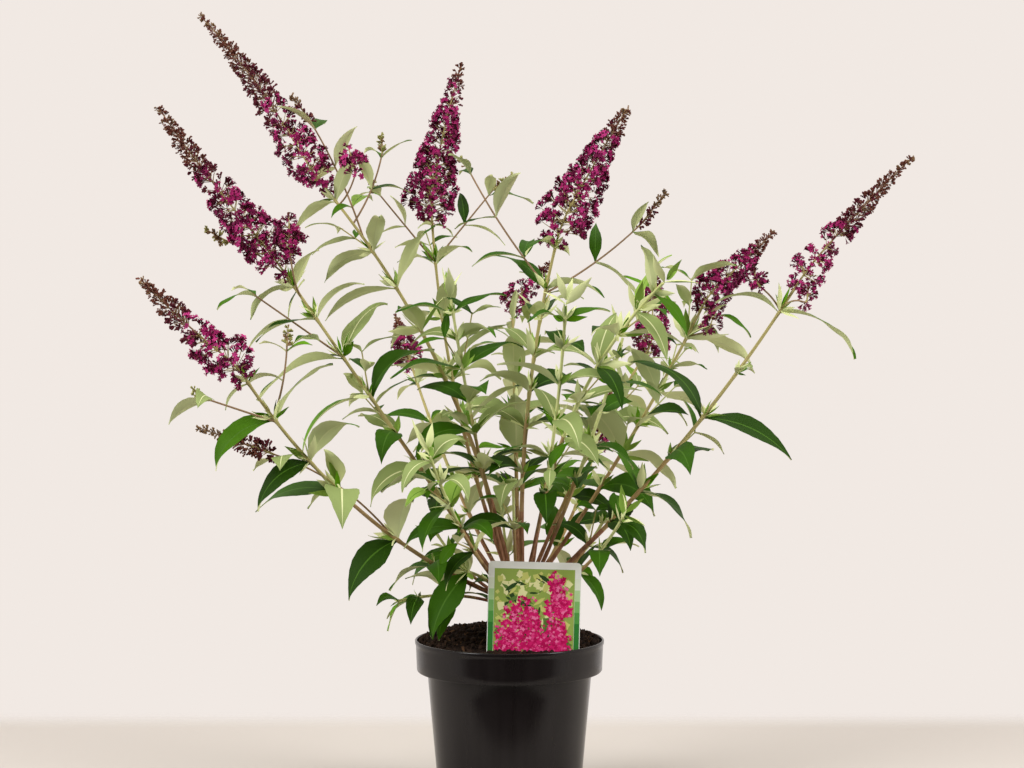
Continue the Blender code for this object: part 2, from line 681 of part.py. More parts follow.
def build_pot():
    """The pot: a tapering wall, a collar with a rolled lip, and a floor with drain holes."""
    step = POT_HEIGHT - POT_COLLAR_DEPTH
    inside = ((inner_radius(POT_HEIGHT), POT_HEIGHT - 0.0006), (inner_radius(step + 0.003), step + 0.003),
              (inner_radius(step), step), (inner_radius(POT_FLOOR), POT_FLOOR), (0.0, POT_FLOOR))
    rows = pot_rows() + [circle(radius, height, POT_SIDES) for radius, height in inside]
    pot = add("pot", loft(rows), BLACK_PLASTIC, 40)
    holes = bmesh.new()
    for i in range(DRAIN_HOLES):
        middle = aim(360 * (i + 0.5) / DRAIN_HOLES, 0) * DRAIN_CIRCLE_RADIUS + UP * (POT_FLOOR / 2)
        bmesh.ops.create_cone(holes, cap_ends=True, segments=8, radius1=DRAIN_HOLE_RADIUS,
                              radius2=DRAIN_HOLE_RADIUS, depth=POT_FLOOR * 3, matrix=Matrix.Translation(middle))
    cutter = bpy.data.objects.new("drain_holes", bpy.data.meshes.new("drain_holes"))
    holes.to_mesh(cutter.data)
    holes.free()
    bpy.context.scene.collection.objects.link(cutter)
    cut(pot, cutter)


def soil_height(share, angle):
    """The compost's height, from its edge (share 0) to its middle (1): lowest at the front edge."""
    front = ((1 - math.sin(angle)) / 2) ** 2
    edge = POT_HEIGHT - SOIL_BACK_DROP - (SOIL_FRONT_DROP - SOIL_BACK_DROP) * front
    slope = SOIL_BACK_SLOPE + (SOIL_FRONT_SLOPE - SOIL_BACK_SLOPE) * front
    return edge + (SOIL_CROWN_HEIGHT - edge) * share ** slope


def build_compost():
    """The compost: the pot's inside less a fitting gap, a lumpy dome on top, and a pocket for the label."""
    rng = random.Random(SEED)
    step = POT_HEIGHT - POT_COLLAR_DEPTH
    low = POT_FLOOR + FIT_GAP
    outer = inner_radius(POT_HEIGHT - SOIL_FRONT_DROP) - FIT_GAP
    walls = ((0.0, low), (inner_radius(low) - FIT_GAP, low), (inner_radius(step) - FIT_GAP, step + 0.0008),
             (inner_radius(step + 0.004) - FIT_GAP, step + 0.004))
    rows = [circle(radius, height, POT_SIDES) for radius, height in walls]
    for k in range(SOIL_RINGS):
        share = k / (SOIL_RINGS - 1)
        row = circle(outer + (SOIL_FLAT_RADIUS - outer) * share, 0.0, POT_SIDES)
        for i, point in enumerate(row):
            point.z = soil_height(share, 2 * math.pi * i / POT_SIDES)
            if share < 1:
                point.z += rng.uniform(-1, 1) * SOIL_ROUGHNESS
        rows.append(row)
    rows.append(circle(0.0, SOIL_CROWN_HEIGHT, POT_SIDES))
    compost = add("compost", loft(rows), COMPOST, 60)
    cut(compost, add("label_pocket", label_shape(FIT_GAP), COMPOST))


def label_shape(grown):
    """The card with its stake, or with a margin the pocket that it stands in."""
    half = LABEL_WIDTH / 2 + grown
    stake = LABEL_STAKE_WIDTH / 2 + grown
    top = LABEL_TOP + grown
    right = [(0.0, LABEL_TIP - 1.5 * grown), (stake, LABEL_TIP + 0.016), (stake, LABEL_SHOULDER - 0.006 - grown),
             (half - 0.006, LABEL_SHOULDER - grown), (half, LABEL_SHOULDER + 0.006)]
    for i in range(4):
        a = math.pi / 2 * i / 3
        right.append((half - LABEL_CORNER * (1 - math.cos(a)), top - LABEL_CORNER * (1 - math.sin(a))))
    outline = right + [(-x, z) for x, z in reversed(right[1:])]
    place = Matrix.Translation((LABEL_X, -LABEL_FORWARD, LABEL_SHOULDER)) @ Matrix.Rotation(LABEL_TILT, 4, "Y")
    rows = []
    for y in (-LABEL_THICKNESS / 2 - grown, LABEL_THICKNESS / 2 + grown):
        rows.append([place @ Vector((x, y, z - LABEL_SHOULDER)) for x, z in outline])
    return loft(rows)


def crown_shape():
    """The woody crown: flared at its flat foot, waisted, with a knobbly head that the canes spring from."""
    base = SOIL_CROWN_HEIGHT + FIT_GAP
    profile = [(0.0, base), (CROWN_FLARE_RADIUS, base), (CROWN_FLARE_RADIUS * 0.86, base + 0.003),
               (CROWN_NECK_RADIUS, base + 0.009)]
    for climb in (-40, -15, 10, 35, 60):
        a = math.radians(climb)
        profile.append((CROWN_HEAD_RADIUS * math.cos(a), CROWN.z + CROWN_HEAD_RADIUS * math.sin(a)))
    profile.append((0.0, CROWN.z + CROWN_HEAD_RADIUS))
    rows = [circle(radius, height, CROWN_SIDES) for radius, height in profile]
    offset = Vector((CROWN_X, 0.0, 0.0))
    return loft([[point + offset for point in row] for row in rows])


def build_plant():
    """Boughs, then each mass of foliage and flower fused from its stem, twigs, leaves and spikes."""
    plant = Plant()
    for cane in CANES:
        limb = plant.canes[cane.name]
        gap = FIT_GAP / 2 / limb.length
        if cane.bare:
            add("bough_" + cane.name, loft(limb.rows(0.0, cane.bare - gap, 2, 5)), BARK, 50)
        first = cane.bare + gap if cane.bare else 0.0
        parts = [("foliage_" + cane.name, first, min(1.0, cane.split - gap) if cane.split < 1 else 1.0)]
        if cane.split < 1:
            parts.append((plant.mass_of(cane, 1.0), cane.split + gap, 1.0))
        for mass, start, end in parts:
            steps = max(1, round((end - start) * limb.length / 0.04))
            stem = loft(limb.rows(start, end, steps, 3))
            pieces = [(loft(leaf.rows(leaf_sections(leaf.length))), FOLIAGE)
                      for leaf in plant.leaves if leaf.mass == mass]
            pieces += [(loft(line.rows(0.0, 1.0, 3, 3)), TWIG) for _, line, owner in plant.twigs if owner == mass]
            pieces += [(loft(line.rows(0.0, 1.0, 1, 3)), TWIG) for line, owner in plant.shoots if owner == mass]
            pieces += [(loft(spike_rows(spike, line)), BLOSSOM)
                       for spike, line, owner in plant.spikes if owner == mass]
            fuse(mass, stem, pieces)
    return plant


for old in list(bpy.data.objects):
    bpy.data.objects.remove(old)
BLACK_PLASTIC = material("black_plastic", (0.018, 0.017, 0.017), 0.36)
COMPOST = material("compost", (0.030, 0.020, 0.014), 0.95)
BARK = material("bark", (0.27, 0.19, 0.11), 0.75)
TWIG = material("twig", (0.30, 0.30, 0.12), 0.7)
FOLIAGE = material("foliage", (0.12, 0.24, 0.06), 0.6)
BLOSSOM = material("blossom", (0.30, 0.03, 0.16), 0.6)
CARD = material("card", (0.80, 0.80, 0.76), 0.35)
build_pot()
build_compost()
add("label", label_shape(0.0), CARD)
add("woody_crown", crown_shape(), BARK, 50)
build_plant()
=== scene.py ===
"""Looks for a potted butterfly bush in flower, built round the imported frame.

Metres, +Z up, +Y away from the viewer. The origin is the middle of the pot's flat underside.
The limbs, leaves and flower spikes grow by the same seeded rule and tables as the solids, and are carried on
to finer shoots, florets and buds within the same reach.
"""

import logging
import math
import random
from dataclasses import dataclass, field
from enum import Enum

import bmesh
import bpy
from mathutils import Matrix, Quaternion, Vector, noise
from mathutils.bvhtree import BVHTree

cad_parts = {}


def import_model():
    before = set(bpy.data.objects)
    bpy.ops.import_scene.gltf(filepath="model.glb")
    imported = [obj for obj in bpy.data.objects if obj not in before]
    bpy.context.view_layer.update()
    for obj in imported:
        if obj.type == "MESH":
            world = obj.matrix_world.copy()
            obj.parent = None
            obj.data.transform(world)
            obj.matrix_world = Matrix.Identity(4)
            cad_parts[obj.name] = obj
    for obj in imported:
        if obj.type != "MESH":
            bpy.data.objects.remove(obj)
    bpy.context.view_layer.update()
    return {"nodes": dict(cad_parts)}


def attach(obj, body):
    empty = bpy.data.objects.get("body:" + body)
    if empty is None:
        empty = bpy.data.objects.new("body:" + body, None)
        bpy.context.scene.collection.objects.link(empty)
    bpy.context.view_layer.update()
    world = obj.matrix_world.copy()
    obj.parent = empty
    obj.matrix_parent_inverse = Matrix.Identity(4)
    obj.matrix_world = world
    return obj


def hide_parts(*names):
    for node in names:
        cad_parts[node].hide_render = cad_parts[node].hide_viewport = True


LOG = logging.getLogger("butterfly_bush")

# The pot, a round nursery container with a turned-out collar
POT_HEIGHT = 0.175
POT_RIM_RADIUS = 0.095
POT_COLLAR_DEPTH = 0.031
POT_STEP_RADIUS = 0.0825
POT_FOOT_RADIUS = 0.0695
POT_WALL = 0.0018
POT_FLOOR = 0.0025
DRAIN_HOLES = 6
DRAIN_HOLE_RADIUS = 0.005
DRAIN_CIRCLE_RADIUS = 0.048

# The compost, which fills the pot and domes a little over its rim
FIT_GAP = 0.0003
SOIL_FRONT_DROP = 0.008
SOIL_BACK_DROP = 0.001
SOIL_FRONT_SLOPE = 1.5
SOIL_BACK_SLOPE = 0.7
SOIL_CROWN_HEIGHT = 0.187
SOIL_FLAT_RADIUS = 0.020

# The picture label, a thin card on a stake
LABEL_WIDTH = 0.0900
LABEL_TOP = 0.2585
LABEL_SHOULDER = 0.156
LABEL_TIP = 0.105
LABEL_STAKE_WIDTH = 0.024
LABEL_THICKNESS = 0.0008
LABEL_CORNER = 0.004
LABEL_X = 0.0223
LABEL_FORWARD = 0.060
LABEL_TILT = math.radians(1.5)

# The woody crown that all canes rise from
CROWN_X = 0.010
CROWN_FLARE_RADIUS = 0.0180
CROWN_NECK_RADIUS = 0.0120
CROWN_HEAD_RADIUS = 0.0155
CROWN_HEAD_HEIGHT = 0.027
CROWN_SIDES = 14
CROWN = Vector((CROWN_X, 0.0, SOIL_CROWN_HEIGHT + CROWN_HEAD_HEIGHT))

# How leaves grow: their angle to the stem, their width to length, and the clear space kept round each
LEAF_ANGLE = math.radians(52)
LEAF_BROAD = 0.40
LEAF_NARROW = 0.235
BROAD_BELOW = 0.33
NARROW_ABOVE = 0.50
LEAF_ROLL = 30
FACING_ROLL = 28
FACING_BEND = 0.5
FACING_BELOW = 0.34
FACING_ABOVE = 0.43
CANE_TIP_RADIUS = 0.0014
LEAF_STEPS = 8
LONG_LEAF = 0.064
LEAF_CLEARANCE = 0.0009
LEAF_TRIES = ((0, 0, 1.0), (15, 0, 1.0), (-15, 0, 1.0), (0, 14, 0.95), (0, -14, 0.95), (30, 0, 0.9), (-30, 0, 0.9),
              (48, 8, 0.8), (-48, 8, 0.8), (0, 22, 0.7), (20, -22, 0.7), (-20, -22, 0.7), (0, 0, 0.5))
SHOOTS_LOW = 1.2
SHOOTS_HIGH = 1.3
SPIKE_RING = 0.012
FOOT_WIDTH = 0.0006
FOOT_DEPTH = 0.0005
UP = Vector((0.0, 0.0, 1.0))
SEED = 20

Shape = tuple[list[Vector], list[tuple[int, ...]]]


@dataclass(frozen=True)
class Spike:
    """A flower spike: its length, its greatest width, and the way it points, in degrees.

    It sets off steeper than it climbs on average by its curl, and ends flatter by as much.
    """

    length: float
    width: float
    bearing: float
    climb: float
    curl: float


@dataclass(frozen=True)
class Cane:
    """A cane: bearing, height of its foot on the crown's head (degrees), reach, rise, bow, thickness and knots.

    Each knot has its share of the cane's length, the turn of its pair of leaves (0 level, 90 upright), and
    their length. Droop is how far a leaf bends down. The cane is a bare bough up to one share, and from split
    on its leaves and flowers are a mass of their own.
    """

    name: str
    bearing: float
    foot: float
    reach: float
    rise: float
    bow: float
    thick: float
    knots: tuple[tuple[float, float, float], ...]
    droop: float
    bare: float
    split: float = 1.0
    spike: Spike | None = None
    shoots: float = 0.22


@dataclass(frozen=True)
class Twig:
    """A side twig that leaves a cane at one share of its length, with its own leaf pairs and perhaps a spike."""

    cane: str
    at: float
    bearing: float
    reach: float
    rise: float
    bow: float
    pairs: int
    leaf: float
    spike: Spike | None = None


CANES = (
    Cane("top_left", 171, 62, 0.200, 0.416, -0.028, 0.0026,
         ((0.26, 90, 0.056), (0.37, 0, 0.068), (0.49, 90, 0.088), (0.605, 10, 0.090), (0.72, 80, 0.094),
          (0.82, 60, 0.084), (0.965, 90, 0.060)),
         66, 0.20, 0.76, Spike(0.226, 0.046, 171, 55, 8)),
    Cane("left", 197, 30, 0.237, 0.324, 0.000, 0.0024,
         ((0.29, 0, 0.056), (0.395, 80, 0.064), (0.50, 0, 0.074), (0.62, 90, 0.092), (0.74, 96, 0.098),
          (0.86, 80, 0.066), (0.955, 50, 0.072)),
         72, 0.23, 0.82, Spike(0.195, 0.050, 199, 51, -4)),
    Cane("low_left", 214, 5, 0.300, 0.222, 0.026, 0.0023,
         ((0.25, 10, 0.060), (0.39, 70, 0.080), (0.60, 0, 0.086), (0.72, 80, 0.072), (0.865, 80, 0.078),
          (0.985, 60, 0.050)),
         88, 0.21, 0.80, Spike(0.128, 0.046, 200, 41, -6), 0.14),
    Cane("centre_left", 133, 50, 0.136, 0.390, 0.022, 0.0023,
         ((0.30, 0, 0.080), (0.43, 90, 0.090), (0.57, 0, 0.082), (0.735, 70, 0.082), (0.885, 80, 0.070),
          (0.99, 0, 0.040)),
         64, 0.25, 0.80, Spike(0.179, 0.056, 41, 75, 5)),
    Cane("centre", 312, 72, 0.054, 0.356, -0.018, 0.0026,
         ((0.32, 0, 0.060), (0.45, 90, 0.078), (0.56, 0, 0.080), (0.66, 90, 0.084), (0.77, 20, 0.078),
          (0.86, 90, 0.080), (0.98, 30, 0.066)),
         64, 0.27, 0.81, Spike(0.146, 0.058, 352, 60, 2)),
    Cane("right_back", 50, 40, 0.221, 0.252, -0.010, 0.0021,
         ((0.34, 0, 0.074), (0.50, 90, 0.080), (0.66, 0, 0.074), (0.80, 90, 0.064), (0.95, 0, 0.046)),
         64, 0.28, 0.86, Spike(0.116, 0.046, 84, 70, 0)),
    Cane("right", 25, 38, 0.214, 0.298, 0.008, 0.0022,
         ((0.36, 0, 0.078), (0.48, 90, 0.084), (0.58, 0, 0.074), (0.70, 90, 0.074), (0.78, 10, 0.050),
          (0.89, 92, 0.098)),
         68, 0.30, 0.83, Spike(0.124, 0.042, 25, 40, 0)),
    Cane("far_right", 352, 20, 0.273, 0.311, 0.014, 0.0025,
         ((0.26, 0, 0.056), (0.37, 90, 0.070), (0.48, 0, 0.074), (0.61, 90, 0.098), (0.745, 0, 0.046),
          (0.93, 90, 0.098)),
         68, 0.20, 0.84, Spike(0.168, 0.036, 344, 47, 3)),
    Cane("pale_shoot", 307, 20, 0.214, 0.308, -0.042, 0.0021,
         ((0.34, 0, 0.054), (0.45, 90, 0.064), (0.56, 0, 0.070), (0.68, 80, 0.074), (0.79, 0, 0.064),
          (0.88, 90, 0.070), (0.955, 90, 0.060)),
         60, 0.27, 0.64, None, 0.25),
    Cane("front_shoot", 290, 45, 0.125, 0.290, 0.018, 0.0020,
         ((0.38, 70, 0.058), (0.51, 0, 0.068), (0.63, 80, 0.072), (0.75, 0, 0.068), (0.86, 90, 0.064),
          (0.95, 20, 0.050)),
         66, 0.31, 1.0, None, 0.2),
    Cane("right_shoot", 334, 42, 0.112, 0.262, 0.006, 0.0020,
         ((0.44, 0, 0.048), (0.58, 90, 0.054), (0.71, 0, 0.056), (0.82, 90, 0.056), (0.92, 20, 0.050)),
         66, 0.33, 1.0, None, 0.14),
    Cane("back", 92, 42, 0.196, 0.300, 0.000, 0.0025,
         ((0.32, 0, 0.078), (0.46, 90, 0.086), (0.59, 0, 0.084), (0.72, 90, 0.080), (0.85, 0, 0.064),
          (0.96, 90, 0.050)),
         66, 0.27, 0.88, Spike(0.082, 0.034, 41, 40, 0)),
    Cane("back_left", 122, 12, 0.225, 0.235, 0.012, 0.0023,
         ((0.36, 90, 0.056), (0.50, 0, 0.062), (0.63, 90, 0.064), (0.76, 0, 0.060), (0.93, 90, 0.052)),
         65, 0.29, 0.86, Spike(0.085, 0.036, 110, 42, 0), 0.12),
    Cane("back_right", 68, 12, 0.240, 0.150, 0.018, 0.0023,
         ((0.36, 90, 0.054), (0.50, 0, 0.060), (0.64, 90, 0.060), (0.77, 0, 0.056), (0.93, 90, 0.050)),
         70, 0.29, 0.86, Spike(0.090, 0.036, 75, 38, 0), 0.10),
    Cane("left_shoot", 210, 48, 0.078, 0.300, 0.004, 0.0020,
         ((0.42, 0, 0.064), (0.54, 90, 0.076), (0.65, 0, 0.080), (0.76, 90, 0.080), (0.86, 10, 0.072),
          (0.95, 90, 0.058)),
         62, 0.34, 1.0, None, 0.25),
    Cane("front_left", 236, 14, 0.150, 0.150, 0.012, 0.0022,
         ((0.40, 80, 0.056), (0.56, 10, 0.060), (0.70, 90, 0.062), (0.84, 0, 0.058), (0.97, 80, 0.052)),
         85, 0.32, 1.0, None, 0.2),
    Cane("front_right", 328, -4, 0.118, 0.088, 0.010, 0.0020,
         ((0.44, 80, 0.050), (0.68, 0, 0.050), (0.95, 70, 0.052)),
         80, 0.36, 1.0, None, 0.1),
    Cane("sprout_front", 260, 34, 0.036, 0.116, 0.004, 0.0018, ((0.60, 0, 0.062), (0.97, 84, 0.064)), 85, 0.0),
    Cane("hanging_shoot", 225, -40, 0.072, 0.034, -0.008, 0.0017,
         ((0.58, 10, 0.050), (0.96, 84, 0.074)), 90, 0.0, 1.0, None, 0.0),
    Cane("sprout_left", 186, 6, 0.085, 0.070, 0.006, 0.0018,
         ((0.45, 0, 0.048), (0.72, 80, 0.056), (0.97, 10, 0.050)), 85, 0.0, 1.0, None, 0.2),
    Cane("sprout_right", 6, 2, 0.085, 0.078, 0.006, 0.0018,
         ((0.45, 0, 0.040), (0.72, 80, 0.048), (0.97, 10, 0.044)), 80, 0.0, 1.0, None, 0.1),
    Cane("sprout_back", 105, 2, 0.070, 0.082, 0.004, 0.0018, ((0.5, 0, 0.072), (0.97, 80, 0.064)), 75, 0.0),
    Cane("rim_shoot", 206, -18, 0.132, 0.006, -0.008, 0.0016,
         ((0.50, 70, 0.060), (0.80, 20, 0.044), (0.98, 70, 0.034)), 60, 0.0, 1.0, None, 0.0),
)

TWIGS = (
    Twig("low_left", 0.41, 204, 0.116, 0.080, -0.010, 2, 0.052, Spike(0.074, 0.022, 200, 20, 0)),
    Twig("low_left", 0.875, 60, 0.020, 0.066, 0.004, 1, 0.036, Spike(0.016, 0.010, 70, 80, 0)),
    Twig("low_left", 0.86, 214, 0.070, 0.022, 0.000, 1, 0.055, Spike(0.014, 0.010, 200, 40, 0)),
    Twig("left", 0.745, 186, 0.090, 0.063, 0.000, 3, 0.058),
    Twig("left", 0.93, 262, 0.036, 0.036, 0.006, 0, 0.030, Spike(0.042, 0.036, 120, 84, 0)),
    Twig("left", 0.985, 186, 0.056, 0.034, -0.004, 0, 0.030, Spike(0.026, 0.014, 186, 30, 0)),
    Twig("top_left", 0.86, 160, 0.060, 0.122, -0.004, 3, 0.066, Spike(0.036, 0.010, 165, 52, 0)),
    Twig("top_left", 0.955, 300, 0.040, 0.026, 0.004, 0, 0.030, Spike(0.032, 0.034, 160, 70, 0)),
    Twig("top_left", 0.90, 12, 0.030, 0.074, 0.004, 2, 0.056, Spike(0.018, 0.008, 150, 82, 0)),
    Twig("centre_left", 0.89, 197, 0.064, 0.074, 0.000, 2, 0.048, Spike(0.014, 0.012, 150, 62, 0)),
    Twig("centre_left", 0.895, 352, 0.062, 0.074, 0.000, 2, 0.060, Spike(0.026, 0.012, 350, 34, 0)),
    Twig("centre", 0.87, 166, 0.082, 0.122, 0.004, 3, 0.064, Spike(0.010, 0.009, 150, 50, 0)),
    Twig("centre", 0.85, 12, 0.096, 0.068, 0.004, 2, 0.064, Spike(0.046, 0.012, 12, 52, 0)),
    Twig("far_right", 0.935, 160, 0.020, 0.024, -0.002, 0, 0.030, Spike(0.018, 0.030, 160, 76, 0)),
    Twig("far_right", 0.945, 40, 0.034, 0.006, -0.004, 0, 0.030, Spike(0.018, 0.026, 60, 76, 0)),
    Twig("right", 0.90, 340, 0.020, 0.004, 0.000, 0, 0.030, Spike(0.018, 0.028, 330, 70, 0)),
    Twig("rim_shoot", 0.43, 248, 0.014, 0.002, 0.000, 1, 0.068),
)


def aim(bearing: float, climb: float) -> Vector:
    """The unit direction of a bearing and a climb, both in degrees.

    Args:
        bearing: The turn from +X towards +Y.
        climb: The angle above level.

    Returns:
        The direction.
    """
    turn = math.radians(bearing)
    lift = math.radians(climb)
    return Vector((math.cos(turn) * math.cos(lift), math.sin(turn) * math.cos(lift), math.sin(lift)))


def bowed(start: Vector, end: Vector, bow: float, bearing: float, steps: int) -> list[Vector]:
    """Points on one smooth curve whose middle lies bow outside and below the line from start to end.

    Args:
        start: The first point.
        end: The last point.
        bow: How far the middle lies outside the straight line.
        bearing: The bearing of the plane that the curve bends in, in degrees.
        steps: How many steps the curve has.

    Returns:
        The points, one more than the steps.
    """
    chord = end - start
    climb = math.degrees(math.atan2(chord.z, math.hypot(chord.x, chord.y)))
    control = (start + end) / 2 + 2 * bow * aim(bearing, climb - 90)
    made = []
    for i in range(steps + 1):
        t = i / steps
        made.append(start * (1 - t) ** 2 + control * 2 * t * (1 - t) + end * t * t)
    return made


def ring(centre: Vector, way: Vector, radii: list[float], turn: float = 0.0) -> list[Vector]:
    """Points round a line, one for each radius.

    Args:
        centre: The middle of the ring.
        way: The line's direction.
        radii: How far out each point lies.
        turn: A turn of the whole ring, in radians.

    Returns:
        The points.
    """
    first = way.cross(Vector((0.31, 0.87, 0.38))).normalized()
    second = way.cross(first).normalized()
    made = []
    for i, radius in enumerate(radii):
        a = 2 * math.pi * i / len(radii) + turn
        made.append(centre + (first * math.cos(a) + second * math.sin(a)) * radius)
    return made


def circle(radius: float, height: float, sides: int) -> list[Vector]:
    """Points round the Z axis, or the one point on it.

    Args:
        radius: The circle's radius, or 0 for one point.
        height: Its height.
        sides: How many points it has.

    Returns:
        The points.
    """
    if radius == 0:
        return [Vector((0.0, 0.0, height))]
    turns = [2 * math.pi * i / sides for i in range(sides)]
    return [Vector((radius * math.cos(a), radius * math.sin(a), height)) for a in turns]


def loft(rows: list[list[Vector]]) -> Shape:
    """Points and faces of a closed skin over rows of points. A row of one point is a tip.

    Args:
        rows: The rows, from one end of the skin to the other.

    Returns:
        The points and the faces.
    """
    points = [point for row in rows for point in row]
    faces = []
    start = 0
    for a, b in zip(rows, rows[1:]):
        after = start + len(a)
        for i in range(max(len(a), len(b))):
            corners = (start + i % len(a), start + (i + 1) % len(a), after + (i + 1) % len(b), after + i % len(b))
            faces.append(tuple(dict.fromkeys(corners)))
        start = after
    for first, row in ((0, rows[0]), (start, rows[-1])):
        if len(row) > 2:
            faces.append(tuple(range(first, first + len(row))))
    return points, faces


class Limb:
    """A stem along a smooth line of points, thinning from one radius to another."""

    def __init__(self, points: list[Vector], thick: float, thin: float) -> None:
        """Keeps the line and how far along it each point lies.

        Args:
            points: The points of the line.
            thick: The radius at its first point.
            thin: The radius at its last point.
        """
        self.points = points
        self.thick = thick
        self.thin = thin
        self.reached = [0.0]
        for a, b in zip(points, points[1:]):
            self.reached.append(self.reached[-1] + (b - a).length)
        self.length = self.reached[-1]

    def at(self, share: float) -> tuple[Vector, Vector, float]:
        """The place at a share of the length.

        Args:
            share: From 0 at the first point to 1 at the last.

        Returns:
            The point, the direction and the radius.
        """
        want = min(max(share, 0.0), 1.0) * self.length
        i = 0
        while i < len(self.points) - 2 and self.reached[i + 1] < want:
            i += 1
        part = (want - self.reached[i]) / (self.reached[i + 1] - self.reached[i])
        step = self.points[i + 1] - self.points[i]
        radius = self.thick + (self.thin - self.thick) * share
        return self.points[i] + step * part, step.normalized(), radius

    def rows(self, first: float, last: float, steps: int, sides: int, grown: float = 0.0) -> list[list[Vector]]:
        """Rings of points from one share of the length to another.

        Args:
            first: The share of the first ring.
            last: The share of the last ring.
            steps: How many steps lie between them.
            sides: How many points a ring has.
            grown: A margin added to the radius.

        Returns:
            The rings.
        """
        made = []
        for i in range(steps + 1):
            centre, way, radius = self.at(first + (last - first) * i / steps)
            made.append(ring(centre, way, [radius + grown] * sides))
        return made


@dataclass
class Leaf:
    """A leaf: the line of its midrib, the way across it, its sizes, and how it sets off and bends."""

    line: Limb
    across: Vector
    length: float
    width: float
    way: Vector
    droop: float
    cane: str

    def rows(self, shares: tuple[float, ...], grown: float = 0.0) -> list[list[Vector]]:
        """Three-cornered sections of the blade, with a keel under its midrib, and its tip.

        Args:
            shares: Where along the leaf the sections lie.
            grown: A margin added all round.

        Returns:
            The sections.
        """
        made = []
        for share in shares:
            centre, way, _ = self.line.at(share)
            above = self.across.cross(way).normalized()
            above = above if above.z > 0 else -above
            half = max(FOOT_WIDTH / 2, self.width * leaf_half_width(share)) + grown
            keel = (max(0.0013, self.length / 62) if share else FOOT_DEPTH) + 2 * grown
            made.append([centre + self.across * half + above * keel * 0.4,
                         centre - self.across * half + above * keel * 0.4,
                         centre - above * keel * 0.6])
        return made + [[self.line.at(1.0)[0]]]


def leaf_half_width(share: float) -> float:
    """Half of a leaf's width, as a share of its full width, from its foot to its tip."""
    if share < 0.38:
        return 0.5 * math.sin(math.pi / 2 * share / 0.38)
    return 0.5 * math.cos(math.pi / 2 * ((share - 0.38) / 0.62) ** 1.15)


def slenderness(height: float) -> float:
    """A leaf's width as a share of its length: broad low on the bush, narrow high up."""
    share = min(1.0, max(0.0, (height - BROAD_BELOW) / (NARROW_ABOVE - BROAD_BELOW)))
    return LEAF_BROAD + (LEAF_NARROW - LEAF_BROAD) * share


def facing(height: float) -> float:
    """How much a leaf turns its upper side to the light in front.

    Args:
        height: The height of the leaf's foot.

    Returns:
        1 low on the bush, 0 high up.
    """
    return 1 - min(1.0, max(0.0, (height - FACING_BELOW) / (FACING_ABOVE - FACING_BELOW)))


def leaf_sections(length: float) -> tuple[float, ...]:
    """Where a leaf's solid has its sections: short leaves have one, long ones two."""
    return (0.0, 0.34, 0.68) if length > LONG_LEAF else (0.0, 0.44)


def leaf_line(root: Vector, way: Vector, length: float, droop: float, steps: int = LEAF_STEPS) -> Limb:
    """The midrib of a leaf that sets off along way and bends down as it goes.

    Args:
        root: Where the leaf starts.
        way: The direction that it sets off in.
        length: Its length.
        droop: How far it bends down, in degrees.
        steps: How many steps its midrib has.

    Returns:
        The midrib.
    """
    turn = math.degrees(math.atan2(way.y, way.x))
    lift = math.degrees(math.asin(max(-1.0, min(1.0, way.z))))
    last = max(lift - droop, -82)
    points = [root.copy()]
    for i in range(steps):
        now = lift + (last - lift) * ((i + 0.5) / steps) ** 1.1
        points.append(points[-1] + aim(turn, now) * (length / steps))
    return Limb(points, 0.0, 0.0)


def spike_swell(share: float) -> float:
    """A spike's half width as a share of its greatest, from its foot to its tip."""
    return min(1.0, 0.55 + share / 0.22) * (1 - 0.86 * max(0.0, share - 0.12) / 0.88)


def spike_rows(spike: Spike, line: Limb, grown: float = 0.0) -> list[list[Vector]]:
    """A spike's knobbly spindle: rings whose corners stand out in turn, from a point sunk in its stem.

    Args:
        spike: The spike's sizes.
        line: The line that it follows.
        grown: A margin added all round.

    Returns:
        The rings.
    """
    start, way, _ = line.at(0.0)
    rings = max(3, round(spike.length / SPIKE_RING))
    made = [[start - way * 0.003]]
    for k in range(rings):
        share = (k + 0.2) / rings
        centre, way, _ = line.at(share)
        half = spike.width / 2 * spike_swell(share)
        out, back = half * 1.06 + grown, half * 0.62 + grown
        made.append(ring(centre, way, [out if (i + k) % 2 else back for i in range(6)]))
    return made + [[line.at(1.0)[0]]]


class Space:
    """The room already taken, so that a new leaf can be tested against it."""

    def __init__(self) -> None:
        """Starts with no room taken."""
        self.taken: list[tuple[list[float], list[float], BVHTree]] = []

    @staticmethod
    def boxed(shape: Shape) -> tuple[list[float], list[float], BVHTree]:
        """A skin's lowest and highest corners and its tree of faces."""
        points, faces = shape
        low = [min(p[i] for p in points) for i in range(3)]
        high = [max(p[i] for p in points) for i in range(3)]
        return low, high, BVHTree.FromPolygons(points, faces)

    def take(self, shape: Shape) -> None:
        """Marks a skin as taken."""
        self.taken.append(self.boxed(shape))

    def free(self, shape: Shape) -> bool:
        """Whether a skin crosses nothing that is taken.

        Args:
            shape: The skin's points and faces.

        Returns:
            True where there is room for it.
        """
        low, high, tree = self.boxed(shape)
        for other_low, other_high, other in self.taken:
            if any(low[i] > other_high[i] or high[i] < other_low[i] for i in range(3)):
                continue
            if tree.overlap(other):
                return False
        return True


